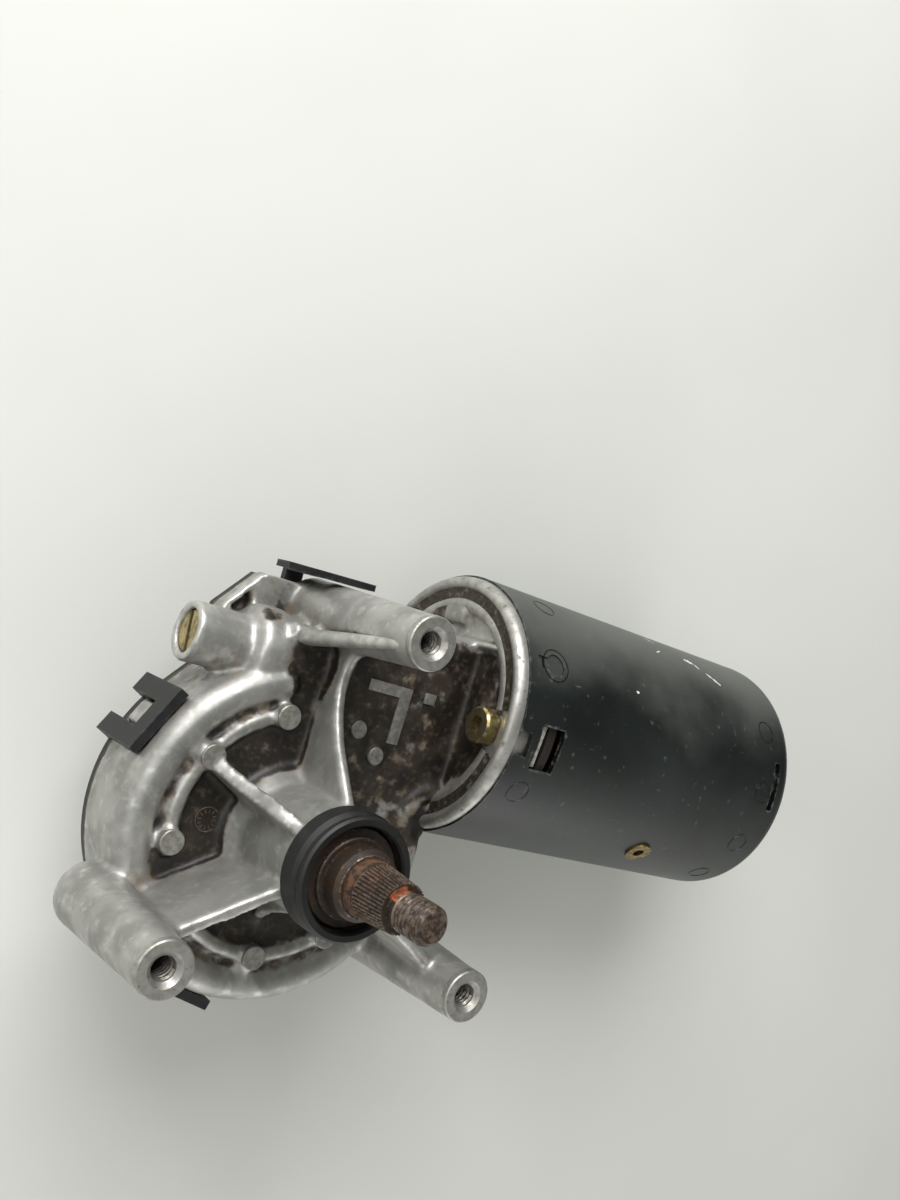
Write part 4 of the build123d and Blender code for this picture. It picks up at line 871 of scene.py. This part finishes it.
    def _date_ring(self) -> None:
        """Build the mould's bare date ring, with its ticks and no figures."""
        shape = bmesh.new()
        outer, inner = self.date_r, self.date_r - self.date_band
        lathe(shape, [(outer, 0), (outer - self.date_slope, self.date_rise),
                      (inner + self.date_slope, self.date_rise), (inner, 0), (outer, 0)], 48)
        out = Matrix.Translation((self.date_r * self.tick_at * MM, 0, self.tick_up * MM))
        for tick in range(self.ticks):
            brick(shape, Matrix.Rotation(math.tau * tick / self.ticks, 4, "Z") @ out, self.tick_size)
        place = Vector((*self.date_place, self.floor_top + self.date_clear)) * MM
        bmesh.ops.translate(shape, verts=shape.verts, vec=place)
        piece_from(shape, "date_ring", "motor", GRIMY_ALUMINIUM, crease=30.0)


@dataclass
class Posts:
    """The three tapped posts' machined ends and threads, and the cast strut beside the top post.

    Attributes:
        lip: The depth of the machined band at a post's end, in mm.
        tip_r: The radius of a post's end, in mm.
        tip_round: How far its edge is rounded, in mm.
        mouth_r: The radius of its countersunk mouth, in mm.
        clear: How far its machined band stands out from the post's side, in mm.
        draft: How much wider the band is at its foot, in mm.
        proud: How far the band stands clear of the skin, in mm.
        pitch: The pitch of the posts' threads, in mm.
        ridge: How far the thread's crests stand into the bore, in mm.
        bite: How far its roots lie inside the bore's wall, in mm.
        lead: How far below the end's face the thread begins, in mm.
        blind: How many turns it stops short of the bore's foot.
        strut_foot: The strut's foot at the elbow's root, in mm.
        strut_head: Its upper end, in mm.
        strut_r: Its radii at both ends, in mm.
    """

    lip: float = 1.6
    tip_r: float = 5.7
    tip_round: float = 0.28
    mouth_r: float = 3.54
    clear: float = 0.03
    draft: float = 0.05
    proud: float = 0.07
    pitch: float = 1.0
    ridge: float = 0.38
    bite: float = 0.05
    lead: float = 2.2
    blind: int = 3
    strut_foot: tuple[float, float, float] = (-10.0, 42.7, -53.0)
    strut_head: tuple[float, float, float] = (-3.9, 47.9, -19.5)
    strut_r: tuple[float, float] = (2.0, 1.1)

    def build(self) -> None:
        """Build the strut, and then each post's end and thread."""
        self._strut()
        bore = MOUNTS["post_top"]["dims"]["r_mm"]
        depth = MOUNTS["post_top"]["dims"]["length_mm"]
        for name, centre in self._ends():
            self._post_end(name, centre, bore)
            self._thread(name, centre, bore, depth)

    @staticmethod
    def _ends() -> list[tuple[str, Vector]]:
        """Find the end of each post.

        Returns:
            Each post's name and the centre of its end face, in metres.
        """
        pair, single, face = MOUNTS["post_pair"], MOUNTS["post_top"], MOUNTS["post_face"]
        half = pair["dims"]["spacing_x_mm"] * MM / 2
        y, top = pair["pos_m"][1], face["pos_m"][2]
        return [("left", Vector((-half, y, top))), ("right", Vector((half, y, top))),
                ("top", Vector((single["pos_m"][0], single["pos_m"][1], top)))]

    def _strut(self) -> None:
        """Build the cast strut that climbs from the elbow's root up the side of the top post."""
        low, high = Vector(self.strut_foot) * MM, Vector(self.strut_head) * MM
        shape = bmesh.new()
        bmesh.ops.create_cone(shape, cap_ends=True, cap_tris=False, segments=24, radius1=self.strut_r[0] * MM,
                              radius2=self.strut_r[1] * MM, depth=(high - low).length,
                              matrix=Matrix.Translation((low + high) / 2)
                              @ (high - low).to_track_quat("Z", "Y").to_matrix().to_4x4())
        piece_from(shape, "cast_strut", "motor", CAST_ALUMINIUM, crease=50.0)

    def _post_end(self, name: str, centre: Vector, bore: float) -> None:
        """Build the machined end of one post, with its countersunk mouth.

        Args:
            name: The post's name.
            centre: The centre of its end face.
            bore: The radius of its bore, in mm.
        """
        low, tip, mouth = -self.lip, self.tip_r + self.clear, self.mouth_r
        shape = bmesh.new()
        lathe(shape, [(bore, low), (bore, bore - mouth), (mouth, 0), (tip - self.tip_round, 0),
                      (tip, -self.tip_round), (tip + self.draft, low), (bore, low)], 64)
        bmesh.ops.translate(shape, verts=shape.verts, vec=centre + Vector((0, 0, self.proud * MM)))
        piece_from(shape, f"post_end_{name}", "motor", MACHINED_ALUMINIUM, crease=25.0)

    def _thread(self, name: str, centre: Vector, bore: float, depth: float) -> None:
        """Build the thread that is cut in one post.

        Args:
            name: The post's name.
            centre: The centre of its end face.
            bore: The radius of its bore, in mm.
            depth: The depth of its bore, in mm.
        """
        shape = bmesh.new()
        root = bore + self.bite
        turns = int(depth / self.pitch) - self.blind
        low = -turns * self.pitch - self.lead
        lathe(shape, [(root, low), (bore - self.ridge, low + self.pitch / 2), (root, low + self.pitch),
                      (root, low)], 24, self.pitch, turns)
        bmesh.ops.translate(shape, verts=shape.verts, vec=centre)
        piece_from(shape, f"post_thread_{name}", "motor", TAPPED_ALUMINIUM, crease=30.0)


@dataclass
class FlangeRing:
    """The turned ring round the flange: a bright crest, an oily groove and a bright fillet inside it.

    Attributes:
        crest: The crest's profile as radius and place along x, in mm.
        groove: The groove's profile.
        fillet: The fillet's profile.
        bridge: The profile of the bright boss that crosses the groove at a flange screw.
        screws: The angles of the flange screws, in degrees from +y towards +z.
        bridge_half: Half the angle that a bridge takes up, in degrees.
    """

    crest: tuple[tuple[float, float], ...] = (
        (28.3, 38.0), (28.4, 36.2), (28.9, 35.5), (29.6, 35.2), (30.3, 35.3), (31.0, 35.9), (31.5, 37.0),
        (31.6, 38.0))
    groove: tuple[tuple[float, float], ...] = ((25.6, 37.6), (25.8, 36.12), (28.5, 36.12), (28.5, 37.6))
    fillet: tuple[tuple[float, float], ...] = (
        (22.6, 38.6), (22.8, 37.5), (23.3, 36.6), (24.2, 36.1), (25.2, 36.0), (25.8, 36.3), (25.9, 38.6))
    bridge: tuple[tuple[float, float], ...] = (
        (17.5, 38.6), (17.8, 37.45), (25.7, 37.35), (26.8, 36.2), (28.8, 35.7), (29.0, 38.0))
    screws: tuple[float, float] = (96.0, -84.0)
    bridge_half: float = 11.5

    def build(self) -> None:
        """Build the crest, and the arcs of the groove, the fillet and the bridges."""
        shape = bmesh.new()
        lathe(shape, [*self.crest, self.crest[0]], 128)
        self._place(shape, "flange_crest", TURNED_FLANGE)
        between = 180 - 2 * self.bridge_half
        for name, profile, start, sweep, finish in (
                ("flange_groove", self.groove, self.bridge_half, between, OILY_GROOVE),
                ("flange_fillet", self.fillet, self.bridge_half, between, TURNED_FLANGE),
                ("flange_bridges", self.bridge, -self.bridge_half, 2 * self.bridge_half, TURNED_FLANGE)):
            shape = bmesh.new()
            for angle in self.screws:
                ring_piece(shape, list(profile), angle + start, sweep, round(sweep / 2))
            self._place(shape, name, finish)

    @staticmethod
    def _place(shape: bmesh.types.BMesh, name: str, finish: Finish) -> None:
        """Stand a shape on the motor's axis and finish it, with angles from +y towards +z."""
        along_motor(shape)
        piece_from(shape, name, "motor", finish, crease=40.0)


# ---------------------------------------------------------------- the output shaft


@dataclass
class OutputShaft:
    """The output shaft, with its serrated taper, neck and thread.

    Attributes:
        journal_r: The radius in the bushes, in mm.
        foot_chamfer: The chamfer at its foot, in mm.
        shoulder: How far its top edge is eased, inwards and downwards, in mm.
        land: The plain length at the taper's foot, in mm.
        taper_len: The length of the taper, in mm.
        taper_top_r: The radius at its small end, in mm.
        teeth: How many serrations go round it.
        tooth_depth: How deep they are, in mm.
        neck_r: The radius of the neck under the thread, in mm.
        neck_len: The length of the neck, in mm.
        sunk: How far the neck goes into the pieces above and below it, in mm.
        pitch: The thread's pitch, in mm.
        thread_depth: How deep the thread is cut, in mm.
        chamfer: The chamfer at the shaft's end, in mm.
        daub_start: Where the daub of paint begins, in degrees from x.
        daub_sweep: How far it goes round, in degrees.
        daub_film: How thick it is at the neck's top, at the neck's foot and on the shoulder, in mm.
        daub_short: How far it stops short of the shoulder's edge, in mm.
        daub_sunk: How far its back lies in the steel, in mm.
    """

    journal_r: float = 6.0
    foot_chamfer: float = 0.5
    shoulder: tuple[float, float] = (0.1, 0.3)
    land: float = 2.6
    taper_len: float = 11.5
    taper_top_r: float = 5.1
    teeth: int = 45
    tooth_depth: float = 0.32
    neck_r: float = 3.7
    neck_len: float = 2.0
    sunk: tuple[float, float] = (0.4, 0.35)
    pitch: float = 1.25
    thread_depth: float = 0.62
    chamfer: float = 1.1
    daub_start: float = 95.0
    daub_sweep: float = 60.0
    daub_film: tuple[float, float, float] = (0.04, 0.12, 0.06)
    daub_short: float = 0.6
    daub_sunk: float = 0.1

    def build(self) -> None:
        """Build the shaft, which stands for the plain one, and then its thread and its daub of paint."""
        low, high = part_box("output_shaft")
        foot, top = low[2] / MM, high[2] / MM
        crest = MOUNTS["output_shaft"]["dims"]["r_mm"]
        taper_top = -self.neck_len
        taper_base = taper_top - self.taper_len
        land_top = taper_base + self.land
        neck_low, neck_high = taper_top - self.sunk[0], self.sunk[1]
        shape = bmesh.new()
        lathe(shape, [(0, foot), (self.journal_r - self.foot_chamfer, foot),
                      (self.journal_r, foot + self.foot_chamfer), (self.journal_r, taper_base - self.shoulder[1]),
                      (self.journal_r - self.shoulder[0], taper_base), (self._taper_r(self.land), land_top),
                      (0, land_top)], 96)
        self._serrations(shape, land_top, taper_top)
        lathe(shape, [(0, neck_low), (self.neck_r, neck_low), (self.neck_r, neck_high), (0, neck_high)], 48)
        body = piece_from(shape, "serrated_shaft", "output", RUSTY_STEEL)
        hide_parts("output_shaft")
        self._thread(crest, top)
        self._daub(taper_top)

    def _taper_r(self, up: float) -> float:
        """Return the taper's radius at a height above its foot, both in mm."""
        return self.journal_r + (self.taper_top_r - self.journal_r) * up / self.taper_len

    def _serrations(self, shape: bmesh.types.BMesh, low: float, high: float) -> None:
        """Add the serrated part of the taper.

        Args:
            shape: The bmesh to add to.
            low: Its foot, in mm.
            high: Its top, in mm.
        """
        low_r, high_r = self._taper_r(self.land), self.taper_top_r
        before = set(shape.verts)
        made = bmesh.ops.create_cone(shape, cap_ends=True, cap_tris=False, segments=4 * self.teeth,
                                     radius1=low_r * MM, radius2=high_r * MM, depth=(high - low) * MM)
        bmesh.ops.translate(shape, verts=made["verts"], vec=(0, 0, (high + low) / 2 * MM))
        for vert in set(shape.verts) - before:
            step = round(math.atan2(vert.co.y, vert.co.x) / math.tau * 4 * self.teeth) % 4
            if step in (2, 3):
                cut = 1 - self.tooth_depth / (low_r if step else high_r)
                vert.co.x *= cut
                vert.co.y *= cut

    def _thread(self, crest: float, top: float) -> None:
        """Build the threaded end.

        Args:
            crest: The thread's outer radius, in mm.
            top: The height of the shaft's end, in mm.
        """
        shape = bmesh.new()
        root = crest - self.thread_depth
        turns = math.ceil(top / self.pitch) + 2
        low = -self.pitch
        flat = self.pitch / 8
        lathe(shape, [(root, low), (crest, low + self.pitch / 2 - flat), (crest, low + self.pitch / 2 + flat),
                      (root, low + self.pitch)], 48, self.pitch, turns)
        for height, side in ((0.0, False), (top, True)):
            bmesh.ops.bisect_plane(shape, geom=shape.verts[:] + shape.edges[:] + shape.faces[:], dist=1e-7,
                                   plane_co=(0, 0, height * MM), plane_no=(0, 0, 1), clear_outer=side,
                                   clear_inner=not side)
        bmesh.ops.holes_fill(shape, edges=[edge for edge in shape.edges if edge.is_boundary], sides=0)
        for vert in shape.verts:
            limit = crest * MM - max(vert.co.z - (top - self.chamfer) * MM, 0)
            radius = math.hypot(vert.co.x, vert.co.y)
            if radius > limit:
                vert.co.x *= limit / radius
                vert.co.y *= limit / radius
        piece_from(shape, "shaft_thread", "output", RUSTY_STEEL, crease=40.0)

    def _daub(self, taper_top: float) -> None:
        """Build the daub of paint on the taper's shoulder.

        Args:
            taper_top: The height of the shoulder, in mm.
        """
        thin, thick, flat = self.daub_film
        edge, back, low = self.taper_top_r - self.daub_short, self.neck_r - self.daub_sunk, taper_top - self.daub_sunk
        shape = bmesh.new()
        ring_piece(shape, [(self.neck_r + thin, 0.0), (self.neck_r + thick, taper_top + self.daub_sunk),
                           (edge, taper_top + flat), (edge, low), (back, low), (back, 0.0)],
                   self.daub_start, self.daub_sweep, 14)
        piece_from(shape, "paint_daub", "output", INSPECTION_PAINT)


# ---------------------------------------------------------------- the can


@dataclass(frozen=True)
class Scrape:
    """A scrape through the can's paint.

    Attributes:
        x: Its middle along the motor's axis, in mm.
        angle: Its middle round that axis, in degrees from +y towards +z.
        length: Its length, in mm.
        width: Its width, in mm.
        turn: How far its length is turned from the axis, in degrees.
    """

    x: float
    angle: float
    length: float
    width: float
    turn: float


@dataclass
class Can:
    """The fine marks on the motor's can.

    Attributes:
        ring_r: The radius of a pressed ring, in mm.
        ring_wire: The width of its ridge, in mm.
        rings: Each ring's place along x, in mm, and its angle in degrees.
        key: The same for the keyhole's round end.
        key_rim: How much wider the keyhole's rim is than a ring, in mm.
        scrapes: The scrapes.
        film: How thick a scrape's sliver is, in mm.
        film_rise: How far its middle stands off the can, in mm.
    """

    ring_r: float = 2.9
    ring_wire: float = 0.42
    rings: tuple[tuple[float, float], ...] = (
        (50.0, 25.0), (45.4, 117.0), (127.5, 59.0), (127.5, 89.0), (127.5, 117.0), (127.5, 144.0))
    key: tuple[float, float] = (46.3, 60.0)
    key_rim: float = 1.1
    scrapes: tuple[Scrape, ...] = (
        Scrape(104.0, 27.0, 3.4, 2.0, 10.0), Scrape(106.4, 29.5, 2.2, 1.1, 60.0), Scrape(111.0, 36.0, 5.4, 1.2, 40.0),
        Scrape(93.4, 16.0, 3.0, 0.7, 50.0), Scrape(91.3, 28.0, 2.6, 0.6, -30.0), Scrape(75.0, 60.0, 1.2, 1.1, 0.0))
    film: float = 0.06
    film_rise: float = 0.02

    def build(self) -> None:
        """Build the rings, the keyhole's rim and the scrapes."""
        for number, place in enumerate(self.rings, 1):
            self._ring(f"can_ring_{number}", *place, self.ring_r)
        self._ring("keyhole_rim", *self.key, self.ring_r + self.key_rim)
        for number, scrape in enumerate(self.scrapes, 1):
            self._scrape(f"can_scrape_{number}", scrape)

    @staticmethod
    def _wrap(shape: bmesh.types.BMesh, x: float, angle: float) -> None:
        """Bend a flat shape round the can.

        Args:
            shape: The shape, flat on z = 0 about the origin, which is changed.
            x: Where its middle goes along the motor's axis, in mm.
            angle: Where its middle goes round it, in degrees from +y towards +z.
        """
        low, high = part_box("motor_can")
        radius = (high[2] - low[2]) / 2 / MM
        for vert in shape.verts:
            turn = math.radians(angle) + vert.co.y / (radius * MM)
            reach = radius * MM + vert.co.z
            vert.co = MOTOR_AXIS + Vector((x * MM + vert.co.x, reach * math.cos(turn), reach * math.sin(turn)))

    def _ring(self, name: str, x: float, angle: float, radius: float) -> None:
        """Build one pressed ring.

        Args:
            name: The piece's name.
            x: Its place along the motor's axis, in mm.
            angle: Its place round it, in degrees.
            radius: Its radius, in mm.
        """
        shape = bmesh.new()
        half = self.ring_wire / 2
        lathe(shape, [(radius - half, -half), (radius - half / 2, half / 2), (radius + half / 2, half / 2),
                      (radius + half, -half), (radius - half, -half)], 48)
        self._wrap(shape, x, angle)
        # Painted shade: the ring is drawn in a darker copy of the can's enamel.
        piece_from(shape, name, "motor", SHADED_ENAMEL, crease=60.0)

    def _scrape(self, name: str, scrape: Scrape) -> None:
        """Build one scrape as a thin sliver with ragged sides and pointed ends.

        Args:
            name: The piece's name.
            scrape: Its place, size and turn.
        """
        shape = bmesh.new()
        bmesh.ops.create_grid(shape, x_segments=14, y_segments=3, size=0.5)
        for vert in shape.verts:
            ragged = 0.6 + 0.9 * noise.noise(Vector((vert.co.x * 6, scrape.x, scrape.angle)))
            ends = 1 - (2 * vert.co.x) ** 4
            vert.co = Vector((vert.co.x * scrape.length, vert.co.y * scrape.width * ragged * ends, 0)) * MM
        bmesh.ops.rotate(shape, verts=shape.verts, cent=(0, 0, 0),
                         matrix=Matrix.Rotation(math.radians(scrape.turn), 3, "Z"))
        bmesh.ops.remove_doubles(shape, verts=shape.verts, dist=1e-6)
        bmesh.ops.solidify(shape, geom=shape.faces[:], thickness=self.film * MM)
        bmesh.ops.translate(shape, verts=shape.verts, vec=(0, 0, self.film_rise * MM))
        self._wrap(shape, scrape.x, scrape.angle)
        piece_from(shape, name, "motor", SCRAPED_PRIMER)


# ---------------------------------------------------------------- the nodes, the stage and the light


def dress_nodes() -> None:
    """Give every CAD node the finish of its material slot."""
    for part in frame["record"]["subparts"]:
        node = frame["nodes"][part["node"]]
        finish = SLOT_FINISHES[part["material_slot"]]
        node.data.materials.clear()
        node.data.materials.append(finish.material())
        LOG.info("%s: %s", part["node"], finish.name)


@dataclass(frozen=True)
class Lamp:
    """A soft square lamp that faces the part.

    Attributes:
        name: The lamp's name.
        place: Where it hangs, in metres.
        size: The side of its square, in metres.
        power: Its power, in watts.
    """

    name: str
    place: tuple[float, float, float]
    size: float
    power: float

    def hang(self) -> None:
        """Hang the lamp and turn it to the middle of the part."""
        lamp = bpy.data.lights.new(self.name, "AREA")
        lamp.shape, lamp.size, lamp.energy = "SQUARE", self.size, self.power
        made = bpy.data.objects.new(self.name, lamp)
        made.location = self.place
        aim = (CAD_BOX[0] + CAD_BOX[1]) / 2 - Vector(self.place)
        made.rotation_euler = aim.to_track_quat("-Z", "Y").to_euler()
        bpy.context.scene.collection.objects.link(made)


@dataclass
class Studio:
    """The pale floor, the lamps, the world and the camera.

    Attributes:
        floor_size: The floor's half width, in metres.
        lamps: The lamps.
        room: The sRGB colour of the surroundings away from the bright side.
        bright: Their colour at the bright side.
        bright_side: The way to the bright side.
        shown: The colour that is seen behind the part.
        level: How bright the surroundings are.
        camera_place: Where the camera stands, in metres.
        camera_ahead: The way it looks.
        camera_up: The way that is up in its picture.
        lens: Its focal length, in mm, for a long side of 36 mm.
    """

    floor_size: float = 3.0
    lamps: tuple[Lamp, ...] = (
        Lamp("key", (-0.35, 0.72, 0.42), 0.70, 11.5), Lamp("bounce", (0.25, -0.75, 0.10), 0.9, 3.0),
        Lamp("fill", (-0.65, 0.05, 0.45), 0.5, 1.6))
    room: str = "#666865"
    bright: str = "#E8E9E4"
    bright_side: tuple[float, float, float] = (0.1, -0.95, -0.3)
    shown: str = "#DADCD6"
    level: float = 0.80
    camera_place: tuple[float, float, float] = (-0.14156, 0.04660, 0.17546)
    camera_ahead: tuple[float, float, float] = (0.59326, 0.05137, -0.80337)
    camera_up: tuple[float, float, float] = (-0.26322, 0.95549, -0.13328)
    lens: float = 35.814

    def build(self) -> None:
        """Build the floor, the world, the lamps and the camera."""
        self._floor()
        self._world()
        for lamp in self.lamps:
            lamp.hang()
        self._camera()
        bpy.context.scene.view_settings.view_transform = "Standard"

    def _floor(self) -> None:
        """Lay the floor under the lowest point of the part."""
        shape = bmesh.new()
        bmesh.ops.create_grid(shape, x_segments=2, y_segments=2, size=self.floor_size)
        bmesh.ops.translate(shape, verts=shape.verts, vec=(0, 0, CAD_BOX[0].z))
        mesh = bpy.data.meshes.new("floor")
        shape.to_mesh(mesh)
        shape.free()
        mesh.materials.append(PAINTED_BOARD.material())
        floor = bpy.data.objects.new("floor", mesh)
        bpy.context.scene.collection.objects.link(floor)

    def _world(self) -> None:
        """Light the surroundings softly from one side, and show them pale behind the part."""
        world = bpy.data.worlds.new("room")
        world.use_nodes = True
        tree = world.node_tree
        tree.nodes.clear()
        way = add(tree, "ShaderNodeTexCoord").outputs["Generated"]
        side = add(tree, "ShaderNodeVectorMath", {"operation": "DOT_PRODUCT"},
                   {0: way, 1: Vector(self.bright_side).normalized()})
        share = add(tree, "ShaderNodeMapRange", {"interpolation_type": "SMOOTHSTEP"},
                    {"Value": side.outputs["Value"], "From Min": -0.6, "From Max": 0.8})
        seen = add(tree, "ShaderNodeLightPath").outputs["Is Camera Ray"]
        lit = add(tree, "ShaderNodeMix", {"data_type": "RGBA"},
                  {0: share.outputs[0], 6: linear(self.room), 7: linear(self.bright)})
        shown = add(tree, "ShaderNodeMix", {"data_type": "RGBA"}, {0: seen, 6: lit.outputs[2], 7: linear(self.shown)})
        back = add(tree, "ShaderNodeBackground", {}, {"Color": shown.outputs[2], "Strength": self.level})
        add(tree, "ShaderNodeOutputWorld", {}, {"Surface": back.outputs[0]})
        bpy.context.scene.world = world

    def _camera(self) -> None:
        """Stand the camera where it looks at the part, and make it the scene's."""
        data = bpy.data.cameras.new("camera")
        data.lens, data.sensor_width, data.sensor_fit = self.lens, 36.0, "AUTO"
        data.clip_start = 0.01
        made = bpy.data.objects.new("camera", data)
        ahead, up = Vector(self.camera_ahead).normalized(), Vector(self.camera_up).normalized()
        turn = Matrix((ahead.cross(up), up, -ahead)).transposed()
        made.matrix_world = Matrix.Translation(self.camera_place) @ turn.to_4x4()
        bpy.context.scene.collection.objects.link(made)
        bpy.context.scene.camera = made


def main() -> None:
    """Set the stage and dress the part."""
    logging.basicConfig(level=logging.INFO, format="%(name)s %(message)s")
    Studio().build()
    dress_nodes()
    for assembly in (CastSkin, MouldMarks, Posts, FlangeRing, OutputShaft, Can):
        assembly().build()


if __name__ == "__main__":
    main()
